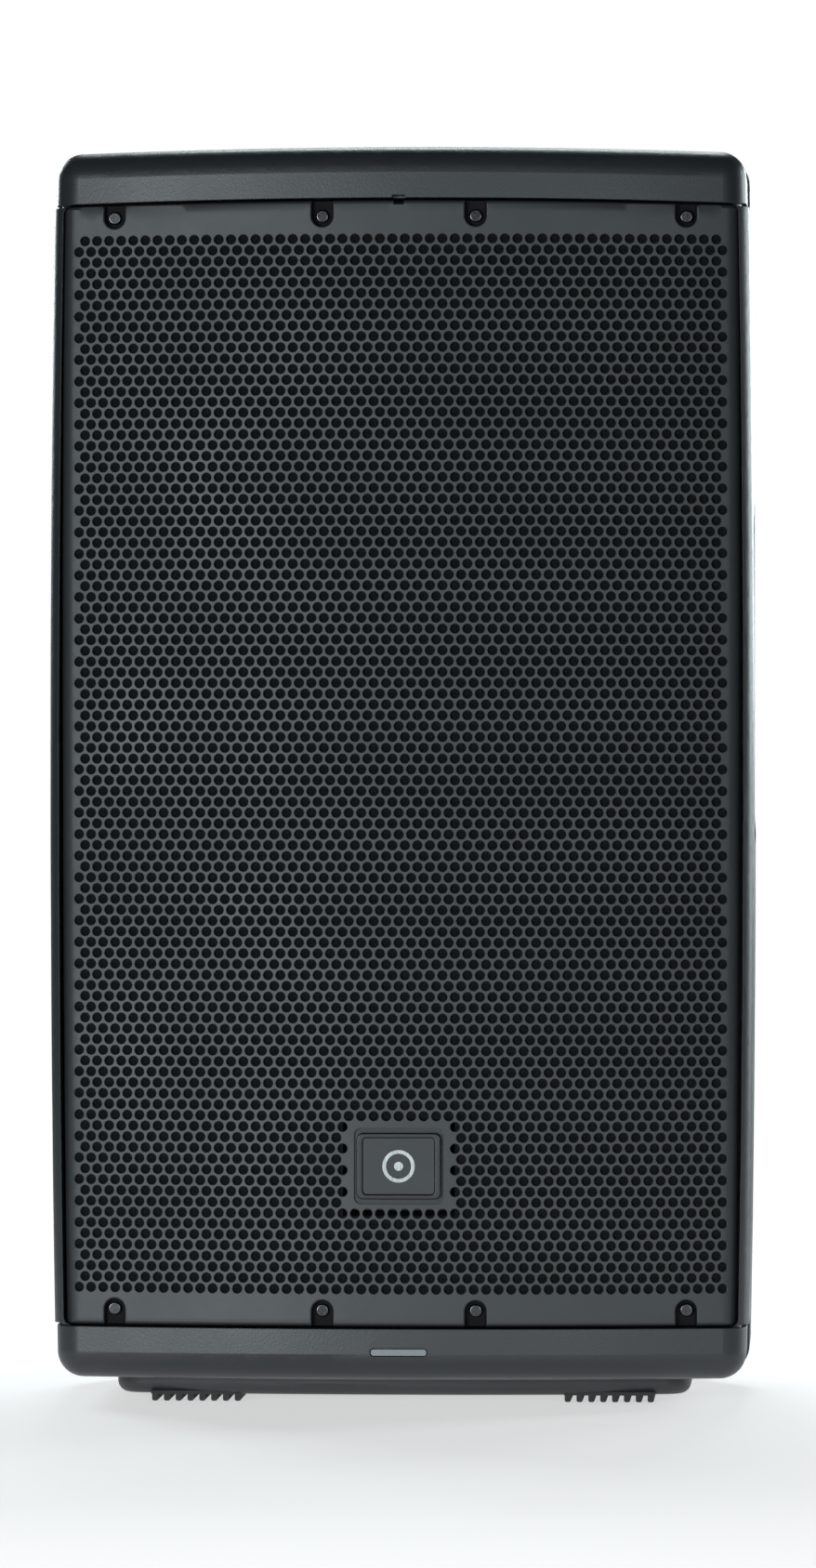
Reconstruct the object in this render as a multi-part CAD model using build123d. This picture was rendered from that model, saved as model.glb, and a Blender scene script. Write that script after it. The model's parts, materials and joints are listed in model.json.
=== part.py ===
from build123d import *
import math
import os

# Powered two-way loudspeaker in a moulded cabinet: 10 inch bass driver and a
# horn-loaded compression driver behind a full-height perforated steel grille,
# amplifier panel at the rear, handles at the sides and top, dual-angle pole
# socket underneath.  Front faces -Y, +X is to the right seen from the front,
# +Z up, origin at the centre of the footprint on the floor.  Millimetres.

# ---------------------------------------------------------------- dimensions
HALF_W = 165.8          # half width at the widest height
HALF_W_END = 163.4      # half width at the top and bottom
FLOOR_Z = 12.3          # underside of the cabinet above the skid
TOP_Z = 591.0           # crest of the crowned top
CROWN = 2.2             # fall of the top from centre to sides
Y_FRONT = -152.5
Y_REAR = 152.5
R_FRONT = 800.0         # front bows forward on this radius
TAPER_Y = 5.0           # sides run straight back to here, then taper
REAR_HALF = 95.0        # half width of the rear before rounding
EDGE_R = 12.5           # roll of the top and bottom edges
WALL = 4.5
CAP_SLIM = 1.1          # caps are this much narrower than the side rims
CAP_GROOVE = 1.4        # shadow line between caps and rims

SEAM_Y = -80.0          # joint between front baffle and rear shell
GASKET_T = 0.8
BAFFLE_Y = -116.0       # front face of the baffle wall
BAFFLE_T = 5.0

BAY_HALF = 161.0        # grille bay
BAY_HALF_END = 158.8
BAY_Z0 = 36.7
BAY_Z1 = 566.6
BAY_CROWN = 2.0
GRILLE_GAP = 1.1
GRILLE_SET = 2.0        # grille face behind the cap faces
GRILLE_T = 1.4
GRILLE_BACK_Y = -127.0
NOTCH_W = 11.6          # pressed screw pockets along the grille edges
NOTCH_H = 13.0
POCKET = 6.0            # back of a pocket floor behind the grille face
POCKET_WALL = 1.1
SCREW_X = (-134.5, -36.0, 36.0, 134.5)
SCREW_Z = (45.2, 558.2)

BADGE_Z = 113.0
BADGE_W, BADGE_H = 39.6, 31.0
PLATE_W, PLATE_H = 33.5, 26.3
RECESS_W, RECESS_H = 42.0, 36.0

LED_Z = 25.8
LED_W, LED_H = 26.0, 2.9

WOOFER_Z = 190.0
WOOFER_R = 131.0
WOOFER_CUT_R = 116.0
HORN_Z = 450.0
PORT_X, PORT_Z, PORT_R = 122.0, 79.0, 21.0

PANEL_Z0, PANEL_Z1 = 140.0, 440.0
PANEL_HALF = 73.7
PANEL_Y = 132.5         # outer face of the amplifier panel
JACK_Z = 352.0
KNOB_Z = 412.0
BUTTON_Z = 384.0
COL_X = (-44.0, 0.0, 44.0)
POWER_Z = 160.0

SKID_Z0 = 3.3
SKID_INSET = 32.0
SKID_HALF = 136.2
POLE_R = 18.0
POLE_DEPTH = 84.0
POLE_Y = 30.0
TILT_Y = -32.0
TILT = 10.0

P = {}


# ------------------------------------------------------------------ helpers
def cyl(r, y0, y1, x=0.0, z=0.0):
    """Cylinder along Y."""
    return Pos(x, (y0 + y1) / 2, z) * (Rot(90, 0, 0) * Cylinder(r, abs(y1 - y0)))


def ring(ro, ri, y0, y1, x=0.0, z=0.0):
    return cyl(ro, y0, y1, x, z) - cyl(ri, y0 - 1, y1 + 1, x, z)


def box(x0, x1, y0, y1, z0, z1):
    return Pos((x0 + x1) / 2, (y0 + y1) / 2, (z0 + z1) / 2) * Box(
        abs(x1 - x0), abs(y1 - y0), abs(z1 - z0))


def prism(w, h, r, y0, y1, x=0.0, z=0.0):
    """Rounded rectangle w by h in XZ, from y0 to y1."""
    return Pos(x, y1, z) * (Rot(90, 0, 0) * extrude(
        RectangleRounded(w, h, r), amount=y1 - y0))


def turned(points, x=0.0, z=0.0):
    """Solid of revolution about an axis along Y; points are (radius, y)."""
    return Pos(x, 0, z) * revolve(
        make_face(Polyline(*points, close=True)), Axis.Y)


def group(solids):
    return Compound(children=[s for s in solids])


def front_outline(inset=0.0, slim=0.0):
    we, w = HALF_W_END - slim, HALF_W - slim
    zm = 380.0
    f = make_face([
        Line((-we, FLOOR_Z), (we, FLOOR_Z)),
        ThreePointArc((we, FLOOR_Z), (w, zm), (we, TOP_Z - CROWN)),
        ThreePointArc((we, TOP_Z - CROWN), (0, TOP_Z), (-we, TOP_Z - CROWN)),
        ThreePointArc((-we, TOP_Z - CROWN), (-w, zm), (-we, FLOOR_Z))])
    return offset(f, amount=-inset, kind=Kind.INTERSECTION) if inset else f


def plan_outline(inset=0.0):
    slope = (REAR_HALF - HALF_W) / (Y_REAR - TAPER_Y)
    xo = 182.0
    yo = TAPER_Y + (xo - HALF_W) / slope
    ya = Y_FRONT + R_FRONT - math.sqrt(R_FRONT ** 2 - xo ** 2)
    f = make_face([
        ThreePointArc((-xo, ya), (0, Y_FRONT), (xo, ya)),
        Polyline((xo, ya), (xo, yo), (REAR_HALF, Y_REAR),
                 (-REAR_HALF, Y_REAR), (-xo, yo), (-xo, ya))])
    return offset(f, amount=-inset, kind=Kind.INTERSECTION) if inset else f


def cabinet(inset=0.0, slim=0.0):
    """Filleted cabinet form, shrunk by inset and narrowed by slim each side."""
    r = EDGE_R - inset
    s = (extrude(Plane.XZ * front_outline(inset, slim), amount=300, both=True)
         & extrude(plan_outline(inset), amount=700)).solids()[0]

    def upright(cond):
        return [e for e in s.edges() if e.length > 300
                and abs(e.tangent_at(0.5).Z) > 0.9 and cond(e.center())]
    s = fillet(upright(lambda c: c.Y < -100), r + 1.0).solids()[0]
    s = fillet(upright(lambda c: -40 < c.Y < 60), 45.0).solids()[0]
    s = fillet(upright(lambda c: c.Y > 120), 20.0 - inset).solids()[0]
    s = fillet([e for e in s.edges()
                if e.center().Z > TOP_Z - CROWN - inset - 1.5], r).solids()[0]
    s = fillet([e for e in s.edges()
                if e.center().Z < FLOOR_Z + inset + 0.5], r).solids()[0]
    return s


def bay_outline(gap=0.0):
    """Outline of the grille bay: bowed sides, crowned top, rounded corners."""
    we, w = BAY_HALF_END, BAY_HALF
    f = make_face([
        Line((-we, BAY_Z0), (we, BAY_Z0)),
        ThreePointArc((we, BAY_Z0), (w, 375.0), (we, BAY_Z1 - BAY_CROWN)),
        ThreePointArc((we, BAY_Z1 - BAY_CROWN), (0, BAY_Z1),
                      (-we, BAY_Z1 - BAY_CROWN)),
        ThreePointArc((-we, BAY_Z1 - BAY_CROWN), (-w, 375.0), (-we, BAY_Z0))])
    if gap:
        f = offset(f, amount=-gap, kind=Kind.INTERSECTION)
    return fillet(f.vertices(), 5.0 - gap * 0.6)


def bay(gap, y0, y1):
    s = extrude(Plane.XZ * bay_outline(gap), amount=300, both=True)
    return s & box(-400, 400, y0, y1, -50, 700)


# ---------------------------------------------------- cabinet: outer and inner
outer = cabinet(0.0)
inner = cabinet(WALL)

front_half = box(-300, 300, -300, SEAM_Y - GASKET_T / 2, -50, 700)
rear_half = box(-300, 300, SEAM_Y + GASKET_T / 2, 300, -50, 700)

# front baffle: caps, side rims, baffle wall with the driver openings
cavity = (inner & box(-300, 300, BAFFLE_Y + BAFFLE_T, 300, -50, 700)) \
    + (inner & box(-300, 300, -300, BAFFLE_Y + BAFFLE_T, BAY_Z1 + WALL, 700)) \
    + (inner & box(-300, 300, -300, BAFFLE_Y + BAFFLE_T, -50, BAY_Z0 - WALL))
cap_form = cabinet(0.0, CAP_SLIM)
Z_LOW, Z_HIGH = BAY_Z0, BAY_Z1 - BAY_CROWN
baffle = (outer & front_half & box(-300, 300, -300, 300, Z_LOW, Z_HIGH)) \
    + (cap_form & front_half & box(-300, 300, -300, 300, -50, Z_LOW)) \
    + (cap_form & front_half & box(-300, 300, -300, 300, Z_HIGH, 700))
# shadow line running from the bay out to the sides
groove = (box(-300, 300, -300, SEAM_Y - 6, Z_HIGH - CAP_GROOVE, Z_HIGH)
          + box(-300, 300, -300, SEAM_Y - 6, Z_LOW, Z_LOW + CAP_GROOVE)) \
    - cabinet(3.6)
baffle = baffle - groove - cavity - bay(0.0, -300, BAFFLE_Y)
boss_hull = extrude(plan_outline(GRILLE_SET + POCKET + 0.05), amount=700)
for sx in SCREW_X:
    for sz in SCREW_Z:
        z0, z1 = (BAY_Z0 + 1.3, sz + 6.0) if sz < 300 \
            else (sz - 5.5, BAY_Z1 - BAY_CROWN - 1.3)
        post = box(sx - 7.5, sx + 7.5, -160, BAFFLE_Y + 1, z0, z1) & boss_hull & outer
        baffle = baffle + post
        baffle = baffle - cyl(1.5, -160, BAFFLE_Y - 4, sx, sz)
baffle = baffle - cyl(WOOFER_CUT_R, -130, -100, 0, WOOFER_Z)
baffle = baffle - prism(266, 190, 22, -130, -100, 0, HORN_Z)
for s in (-1, 1):
    baffle = baffle - cyl(PORT_R + 3.2, -130, -100, s * PORT_X, PORT_Z)
# light window in the bottom cap
baffle = baffle - prism(LED_W + 0.9, LED_H + 0.9, 1.6, -160, -140, 0, LED_Z)
# small locating notch pocket above the centre of the grille
baffle = baffle - box(-3.0, 3.0, -160, -146.0, BAY_Z1 - 1.0, BAY_Z1 + 1.2)

# deep screw wells: lugs on both halves, bored from the rear
WELL_X = 148.0
WELL_Z = (45.0, 235.0, 450.0, 558.0)
wells = []
for s in (-1, 1):
    for wz in WELL_Z:
        wells.append((s * WELL_X, wz))
for wx, wz in wells:
    lug = cyl(7.5, BAFFLE_Y + 2, SEAM_Y - GASKET_T / 2, wx, wz) & outer
    baffle = baffle + lug
    baffle = baffle - cyl(1.9, -104, -70, wx, wz)
# woofer, horn screw pilots
woofer_bolts = [(123.0 * math.cos(math.radians(a)),
                 WOOFER_Z + 123.0 * math.sin(math.radians(a)))
                for a in range(22, 382, 45)]
for bx, bz in woofer_bolts:
    baffle = baffle - cyl(2.0, -130, -100, bx, bz)
horn_bolts = [(sx * 136.5, HORN_Z + dz) for sx in (-1, 1) for dz in (-91, 0, 91)]
for bx, bz in horn_bolts:
    baffle = baffle - cyl(1.7, -130, -100, bx, bz)
P["front_baffle"] = baffle

# seam gasket between the two halves
gasket = (cabinet(0.9) - cabinet(3.6)) & box(
    -300, 300, SEAM_Y - GASKET_T / 2, SEAM_Y + GASKET_T / 2, -50, 700)
for wx, wz in wells:
    gasket = gasket - cyl(7.6, -90, -70, wx, wz)
P["seam_gasket"] = gasket

# ------------------------------------------------------------- handle mouldings
H_LEN, H_WID, H_DEP = 148.0, 62.0, 44.0


def handle_solid(length, width, depth, bar_w, bar_t):
    """Handle cup in local axes: opening in XY, long way along X, mouth at z=0."""
    tub = extrude(RectangleRounded(length + 6, width + 6, 14), amount=-depth)
    lip = extrude(RectangleRounded(length + 14, width + 14, 17), amount=-2.4)
    s = tub + lip
    s = s - (Pos(0, 0, 1) * extrude(RectangleRounded(length, width, 11),
                                    amount=-(depth - 3 + 1)))
    mouth = s.edges().filter_by(
        lambda e: abs(e.center().Z) < 0.01 and abs(e.bounding_box().size.Z) < 0.01)
    inner_loop = [e for e in mouth if abs(e.center().X) < length / 2 + 0.6
                  and abs(e.center().Y) < width / 2 + 0.6]
    s = fillet(inner_loop, 2.0)
    bar = Box(length + 4, bar_w, bar_t)
    bar = fillet(bar.edges().filter_by(Axis.X), bar_t * 0.42)
    return s + (Pos(0, 0, -bar_t / 2 - 0.2) * bar)


def handle_cuts(length, width):
    """Rebate for the lip and opening for the tub, in the same local axes."""
    lip = Pos(0, 0, 5) * extrude(RectangleRounded(length + 14.6, width + 14.6, 17.3),
                                 amount=-7.7)
    tub = extrude(RectangleRounded(length + 6.6, width + 6.6, 14.3), amount=-30)
    return lip + tub


SIDE_HANDLE_Z = 345.0
SIDE_HANDLE_Y = -36.5
side_planes = {
    "right": Plane(origin=(HALF_W - 0.35, SIDE_HANDLE_Y, SIDE_HANDLE_Z),
                   x_dir=(0, 0, 1), z_dir=(1, 0, 0)),
    "left": Plane(origin=(-HALF_W + 0.35, SIDE_HANDLE_Y, SIDE_HANDLE_Z),
                  x_dir=(0, 0, 1), z_dir=(-1, 0, 0))}
top_plane = Plane(origin=(0, 32.0, TOP_Z - 0.8), x_dir=(1, 0, 0), z_dir=(0, 0, 1))
handle = handle_solid(H_LEN, H_WID, H_DEP, 21.0, 15.0)
P["side_handle_right"] = side_planes["right"] * handle
P["side_handle_left"] = side_planes["left"] * handle
P["top_handle"] = top_plane * handle

# ------------------------------------------------------------------ rear shell
shell = (outer & rear_half) - inner
panel_h = PANEL_Z1 - PANEL_Z0
panel_c = (PANEL_Z0 + PANEL_Z1) / 2
shell = shell + (prism(2 * PANEL_HALF + 9, panel_h + 10, 8, 124.0, 151.0, 0, panel_c) & outer)
shell = shell - prism(2 * PANEL_HALF + 0.8, panel_h + 1.6, 4, 130.0, 170.0, 0, panel_c)
shell = shell - prism(2 * PANEL_HALF - 12, panel_h - 12, 4, 110.0, 140.0, 0, panel_c)
for wx, wz in wells:
    shell = shell + (cyl(7.5, SEAM_Y + GASKET_T / 2, 80, wx, wz) & outer)
for wx, wz in wells:
    shell = shell - cyl(5.0, SEAM_Y + 12, 90, wx, wz)
    shell = shell - cyl(2.3, SEAM_Y - 2, 0, wx, wz)
cuts = handle_cuts(H_LEN, H_WID)
for pl in (side_planes["right"], side_planes["left"], top_plane):
    shell = shell - (pl * cuts)
# opening for the pole socket
shell = shell - (Pos(0, -1.0, 8) * extrude(RectangleRounded(49, 112, 20), amount=14))
# suspension point bosses
INSERTS = [(-118.0, 30.0), (118.0, 30.0)]
INSERT_R, INSERT_TOP, INSERT_L = 8.0, 589.0, 17.0
for ix, iy in INSERTS:
    shell = shell + (Pos(ix, iy, 580) * Cylinder(11.5, 20) & outer)
    shell = shell - (Pos(ix, iy, 590) * Cylinder(INSERT_R + 0.03, 36))
REAR_INSERT_Z = 505.0
shell = shell + (cyl(11.5, 132, 151, 0, REAR_INSERT_Z) & outer)
shell = shell - cyl(INSERT_R + 0.03, 134.5, 160, 0, REAR_INSERT_Z)
panel_bolts = [(sx * 69.6, z) for sx in (-1, 1)
               for z in (146.0, 244.0, 336.0, 434.0)]
for bx, bz in panel_bolts:
    shell = shell - cyl(1.5, 122, 140, bx, bz)
P["rear_shell"] = shell

inserts = []
for ix, iy in INSERTS:
    inserts.append((Pos(ix, iy, INSERT_TOP - INSERT_L / 2) * Cylinder(INSERT_R, INSERT_L))
                   - (Pos(ix, iy, INSERT_TOP - 15 / 2 + 1) * Cylinder(4.25, 17)))
inserts.append(cyl(INSERT_R, 134.6, 151.6, 0, REAR_INSERT_Z)
               - cyl(4.25, 136.6, 160, 0, REAR_INSERT_Z))
P["suspension_inserts"] = group(inserts)

# ---------------------------------------------------------------------- grille
def grille_body(extra):
    """Tray form of the grille, shrunk by extra; the sides wrap on a 7 mm roll."""
    half = BAY_HALF - GRILLE_GAP - extra
    r = R_FRONT - GRILLE_SET - extra
    yc = Y_FRONT + R_FRONT
    ya = yc - math.sqrt(r * r - half * half)
    f = make_face([ThreePointArc((-half, ya), (0, yc - r), (half, ya)),
                   Polyline((half, ya), (half, 0), (-half, 0), (-half, ya))])
    f = fillet(f.vertices().filter_by(lambda v: v.Y < -50), 7.0 - extra)
    return bay(GRILLE_GAP + extra, -300, GRILLE_BACK_Y + extra * 4) \
        & extrude(f, amount=700)


grille = grille_body(0.0) - grille_body(GRILLE_T)
for sx in SCREW_X:
    for sz in SCREW_Z:
        d = 1 if sz > 300 else -1
        edge = BAY_Z1 if sz > 300 else BAY_Z0
        zc = edge - d * (GRILLE_GAP + NOTCH_H - NOTCH_W / 2)
        grille = grille - cyl(NOTCH_W / 2, -170, -120, sx, zc)
        grille = grille - box(sx - NOTCH_W / 2, sx + NOTCH_W / 2, -170, -120, zc, zc + d * 30)
        # keep the flange clear of the post behind the notch
        grille = grille - (box(sx - 8.0, sx + 8.0, -170, -120, zc, zc + d * 30)
                           & extrude(plan_outline(GRILLE_SET + POCKET), amount=700))
# pressed pockets: U-shaped wall and a floor that the screw clamps
pocket_zone = bay(GRILLE_GAP, -300, -100) & (
    extrude(plan_outline(GRILLE_SET), amount=700)
    - extrude(plan_outline(GRILLE_SET + POCKET), amount=700))
floor_zone = extrude(plan_outline(GRILLE_SET + POCKET - GRILLE_T), amount=700)


def u_shape(half, x, zc, d):
    return cyl(half, -170, -120, x, zc) + box(x - half, x + half, -170, -120, zc, zc + d * 30)


for sx in SCREW_X:
    for sz in SCREW_Z:
        d = 1 if sz > 300 else -1
        edge = BAY_Z1 if sz > 300 else BAY_Z0
        zc = edge - d * (GRILLE_GAP + NOTCH_H - NOTCH_W / 2)
        tray = u_shape(NOTCH_W / 2, sx, zc, d) & pocket_zone
        tray = tray - (u_shape(NOTCH_W / 2 - POCKET_WALL, sx, zc, d) - floor_zone)
        grille = grille + (tray - cyl(1.75, -170, -120, sx, sz))
grille = grille - box(-2.4, 2.4, -170, -146, BAY_Z1 - GRILLE_GAP - 2.0, BAY_Z1 + 2)
BADGE_Y = Y_FRONT + 0.9      # front of the badge bezel
grille = grille - prism(RECESS_W, RECESS_H, 3.4, -170, -140, 0, BADGE_Z)
P["grille"] = grille.solids().sort_by(SortBy.VOLUME)[-1]

foam_o = extrude(plan_outline(GRILLE_SET + GRILLE_T + 0.3), amount=700)
foam_i = extrude(plan_outline(GRILLE_SET + GRILLE_T + 3.3), amount=700)
foam = (foam_o - foam_i) & box(-154, 154, -300, -100, 52.2, 550.6)
foam = foam - prism(50, 44, 4, -170, -130, 0, BADGE_Z)
P["grille_foam"] = foam.solids()[0]


def pan_screw(r_head, h_head, r_shank, length):
    """Cross-recessed screw, head towards -Z local, seat at z=0, shank to +Z."""
    head = Pos(0, 0, -h_head / 2) * Cylinder(r_head, h_head)
    head = fillet(head.edges().filter_by(lambda e: e.center().Z < -h_head + 0.01),
                  min(0.8, h_head * 0.45))
    head = head - (Pos(0, 0, -h_head) * Box(r_head * 1.15, r_head * 0.3, h_head))
    head = head - (Pos(0, 0, -h_head) * Box(r_head * 0.3, r_head * 1.15, h_head))
    return head + (Pos(0, 0, length / 2) * Cylinder(r_shank, length))


# local +Z to world +Y (screws put in from the front) and to -Y (from the rear)
FROM_FRONT = Rot(-90, 0, 0)
FROM_REAR = Rot(90, 0, 0)

face_inset = GRILLE_SET + POCKET - GRILLE_T - 0.05


def seat_y(x):
    r = R_FRONT - face_inset
    return Y_FRONT + R_FRONT - math.sqrt(r * r - x * x)


screw = pan_screw(3.1, 2.0, 1.45, 14)
P["grille_screws"] = group([
    Pos(sx, seat_y(abs(sx) - 3.1 if abs(sx) > 50 else sx - 3.1 * (1 if sx > 0 else -1)), sz)
    * (FROM_FRONT * screw) for sx in SCREW_X for sz in SCREW_Z])

# ----------------------------------------------------------------------- badge
frame_ring = prism(BADGE_W, BADGE_H, 3.0, BADGE_Y, -147.4, 0, BADGE_Z)
frame_ring = frame_ring + prism(47, 41, 4, -148.5, -147.2, 0, BADGE_Z)
frame_ring = frame_ring - prism(PLATE_W + 0.1, PLATE_H + 0.1, 1.8, -170, -149.4, 0, BADGE_Z)
front_loop = [e for e in frame_ring.edges() if abs(e.center().Y - BADGE_Y) < 0.01
              and abs(e.bounding_box().size.Y) < 0.01]
frame_ring = fillet(front_loop, 0.7)
P["badge_frame"] = frame_ring
P["badge_plate"] = prism(PLATE_W, PLATE_H, 1.75, BADGE_Y + 0.9, -149.45, 0, BADGE_Z)
emblem = ring(7.6, 5.9, BADGE_Y + 0.3, BADGE_Y + 0.9, 0, BADGE_Z)
dot = cyl(2.1, BADGE_Y + 0.3, BADGE_Y + 0.9, 0, BADGE_Z)
P["badge_emblem"] = group([emblem, dot])

# ------------------------------------------------------------------ front light
P["led_lens"] = prism(LED_W, LED_H, 1.2, Y_FRONT + 0.25, -147.6, 0, LED_Z) \
    + prism(30, 4.6, 1.2, -147.6, -146.2, 0, LED_Z + 0.4)


# ---------------------------------------------------------------------- woofer
WZ = WOOFER_Z
basket = turned([(WOOFER_R, -122), (WOOFER_R, -116.05), (115.4, -116.05),
                 (113.0, -100), (66, -38.5), (62, -35.2), (40, -35.2), (40, -38.5),
                 (60, -38.5), (109.5, -102), (111.5, -119.5), (111.5, -122)], 0, WZ)
for k in range(6):
    a = math.radians(30 + 60 * k)
    w = Pos(0, -69, 0) * (Rot(0, 30 + 60 * k, 0) * (Pos(86, 0, 0) * Box(70, 48, 52)))
    basket = basket - (Pos(0, 0, WZ) * w)
for bx, bz in woofer_bolts:
    basket = basket - cyl(2.4, -130, -110, bx, bz)
basket = basket + turned([(64.5, -56.9), (74.0, -56.9), (71.0, -52.6),
                           (64.5, -52.6)], 0, WZ)
P["woofer_basket"] = basket
P["woofer_top_plate"] = ring(60, 20.9, -35.1, -27.1, 0, WZ)
P["woofer_magnet"] = ring(70, 30, -27.0, -7.0, 0, WZ)
P["woofer_yoke"] = (cyl(60, -6.9, 1.0, 0, WZ) + cyl(18.9, -36, -6.9, 0, WZ)) \
    - cyl(7, -50, 10, 0, WZ)
P["woofer_voice_coil"] = ring(20.2, 19.6, -66, -20, 0, WZ) \
    + ring(20.6, 20.0, -39, -24, 0, WZ)
P["woofer_cone"] = turned([(20.25, -64.5), (99.0, -112.6), (99.0, -113.9),
                           (20.25, -66.0)], 0, WZ)
P["woofer_dust_cap"] = turned([(34.0, -74.6), (28, -79.2), (20, -82.6), (10, -84.8),
                               (0, -85.4), (0, -84.6), (10, -84.0), (19.6, -81.9),
                               (27.4, -78.6), (33.2, -74.2)], 0, WZ)
P["woofer_surround"] = turned(
    [(97.6, -114.1), (100.2, -114.6), (100.8, -115.6), (101.6, -118.5), (103.6, -120.7),
     (106.4, -121.5), (109.2, -120.7), (110.9, -118.7), (111.3, -122.1), (118.8, -122.1),
     (118.8, -122.9), (110.7, -122.9), (109.6, -121.5), (106.4, -122.4), (103.0, -121.4),
     (100.8, -119.0), (100.0, -115.9), (97.6, -115.0)], 0, WZ)
spider_o = [(20.7, -57.6)]
spider_i = []
n = 10
for k in range(n):
    r = 24.0 + k * 4.0
    dy = 1.5 if k % 2 else -1.5
    spider_o.append((r, -57.6 + dy))
spider_o += [(64.0, -57.6), (70.0, -57.6)]
P["woofer_spider"] = turned(spider_o + [(r, y + 0.6) for r, y in reversed(spider_o)],
                            0, WZ)
# ------------------------------------------------------------------------ horn
HZ = HORN_Z


def horn_loft(extra):
    secs = []
    for y, w, h, r in ((-119.4, 250, 176, 18), (-100, 176, 112, 30),
                       (-70, 98, 62, 26), (-40, 46, 36, 16.5), (-24, 25.4, 25.4, 12.5)):
        secs.append(Plane(origin=(0, y, HZ), x_dir=(1, 0, 0), z_dir=(0, -1, 0))
                    * RectangleRounded(w + 2 * extra, h + 2 * extra, r + extra))
    return loft(secs)


horn = horn_loft(3.0) + prism(288, 203, 18, -119.3, -116.05, 0, HZ)
horn = horn - horn_loft(0.0)
horn = horn + (ring(40, 14, -28.0, -24.05, 0, HZ))
for bx, bz in horn_bolts:
    horn = horn - cyl(2.1, -130, -110, bx, bz)
P["horn_waveguide"] = horn
P["driver_screws"] = group(
    [Pos(bx, -122.05, bz) * (FROM_FRONT * pan_screw(3.6, 2.4, 1.95, 18))
     for bx, bz in woofer_bolts]
    + [Pos(bx, -119.35, bz) * (FROM_FRONT * pan_screw(3.4, 2.2, 1.65, 12))
       for bx, bz in horn_bolts])
phase_plug = turned([(4.0, -20.0), (12.0, -20.0), (22.0, -5.0), (22.0, -3.4),
                     (12, -7.2), (4.0, -8.2)], 0, HZ)
P["driver_plate"] = ring(45, 24, -24.0, -14.0, 0, HZ) \
    + ring(26, 11.0, -24.0, -20.0, 0, HZ) + phase_plug
P["driver_magnet"] = ring(50, 27, -13.95, 4.0, 0, HZ)
P["driver_yoke"] = ring(46, 25.6, 4.05, 12.0, 0, HZ)
P["driver_diaphragm"] = turned([(0, -6.2), (8, -5.6), (16, -3.2), (22.2, 0.6),
                                (24.6, 0.8), (24.6, 1.2), (22.0, 1.3), (15.6, -2.4),
                                (7.8, -4.8), (0, -5.4)], 0, HZ)
P["driver_cap"] = turned([(0, 31), (36, 31), (44, 26), (46, 22), (46, 12.05), (38, 12.05),
                          (38, 20), (0, 26)], 0, HZ)

# ----------------------------------------------------------------------- ports
tubes = []
for s in (-1, 1):
    tubes.append(turned([(PORT_R, -30), (PORT_R, -108), (22.0, -114), (25.5, -119.0),
                         (27.0, -119.0), (27.0, -116.05), (24.0, -116.05), (24.0, -30)],
                        s * PORT_X, PORT_Z))
P["port_tubes"] = group(tubes)

# --------------------------------------------------------------- amplifier panel
panel = prism(2 * PANEL_HALF, panel_h + 0.8, 3.6, 130.05, PANEL_Y, 0, panel_c)
for bx, bz in panel_bolts:
    panel = panel - cyl(1.8, 120, 140, bx, bz)
for cx in COL_X:
    panel = panel - cyl(12.0, 120, 140, cx, JACK_Z)
    panel = panel - cyl(3.7, 120, 140, cx, KNOB_Z)
    panel = panel - prism(7.8, 7.8, 1.4, 120, 140, cx, BUTTON_Z)
for cx in COL_X[:2]:
    panel = panel - prism(9.0, 4.4, 0.6, 120, 140, cx, JACK_Z + 15.0)
LEDS = ((-22.0, 430.0), (22.0, 430.0), (58.0, 430.0))
for lx, lz in LEDS:
    panel = panel - cyl(1.6, 120, 140, lx, lz)
INLET_X, SWITCH_X = -32.0, 38.0
panel = panel - prism(28.4, 20.4, 2, 120, 140, INLET_X, POWER_Z)
panel = panel - prism(18.8, 25.4, 1, 120, 140, SWITCH_X, POWER_Z)
P["amp_panel"] = panel
P["amp_panel_screws"] = group([Pos(bx, PANEL_Y + 0.05, bz) * (FROM_REAR * pan_screw(3.0, 1.9, 1.45, 9))
                               for bx, bz in panel_bolts])

sink = box(-64, 64, PANEL_Y + 0.05, PANEL_Y + 3.5, 182, 318)
for k in range(17):
    fx = -60.8 + 7.6 * k
    sink = sink + box(fx - 1.0, fx + 1.0, PANEL_Y + 3, PANEL_Y + 17.5, 182, 318)
P["amp_heatsink"] = sink

# combined jack and three-pin sockets, and the link output
def jack_housing(x, combo):
    s = prism(26, 37, 3, PANEL_Y + 0.05, PANEL_Y + 2.2, x, JACK_Z)
    s = s + cyl(11.8, 106, PANEL_Y + 1, x, JACK_Z)
    face = PANEL_Y + 2.2
    if combo:
        s = s - ring(9.7, 7.4, face - 14, face + 2, x, JACK_Z)
        s = s - cyl(3.3, 107.5, face + 2, x, JACK_Z)
        s = s - prism(8.6, 3.6, 0.5, 120, 140, x, JACK_Z + 15.0)
    else:
        s = s - cyl(9.7, face - 16, face + 2, x, JACK_Z)
        for a in (90, 210, 330):
            px = x + 5.2 * math.cos(math.radians(a))
            pz = JACK_Z + 5.2 * math.sin(math.radians(a))
            s = s + cyl(1.2, face - 17, face - 5.5, px, pz)
    for d in ((-10, -13.4), (10, 13.4)) if not combo else ((-10, -13.4), (10, -13.4)):
        s = s - cyl(1.6, PANEL_Y - 1, PANEL_Y + 5, x + d[0], JACK_Z + d[1] * 1.08)
    return s


P["combo_jack_1"] = jack_housing(COL_X[0], True)
P["combo_jack_2"] = jack_housing(COL_X[1], True)
P["link_output"] = jack_housing(COL_X[2], False)
for i in (0, 1):
    tab = prism(8.0, 3.0, 0.4, 125.0, PANEL_Y + 4.4, COL_X[i], JACK_Z + 15.0)
    P["jack_latch_%d" % (i + 1)] = tab

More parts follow.
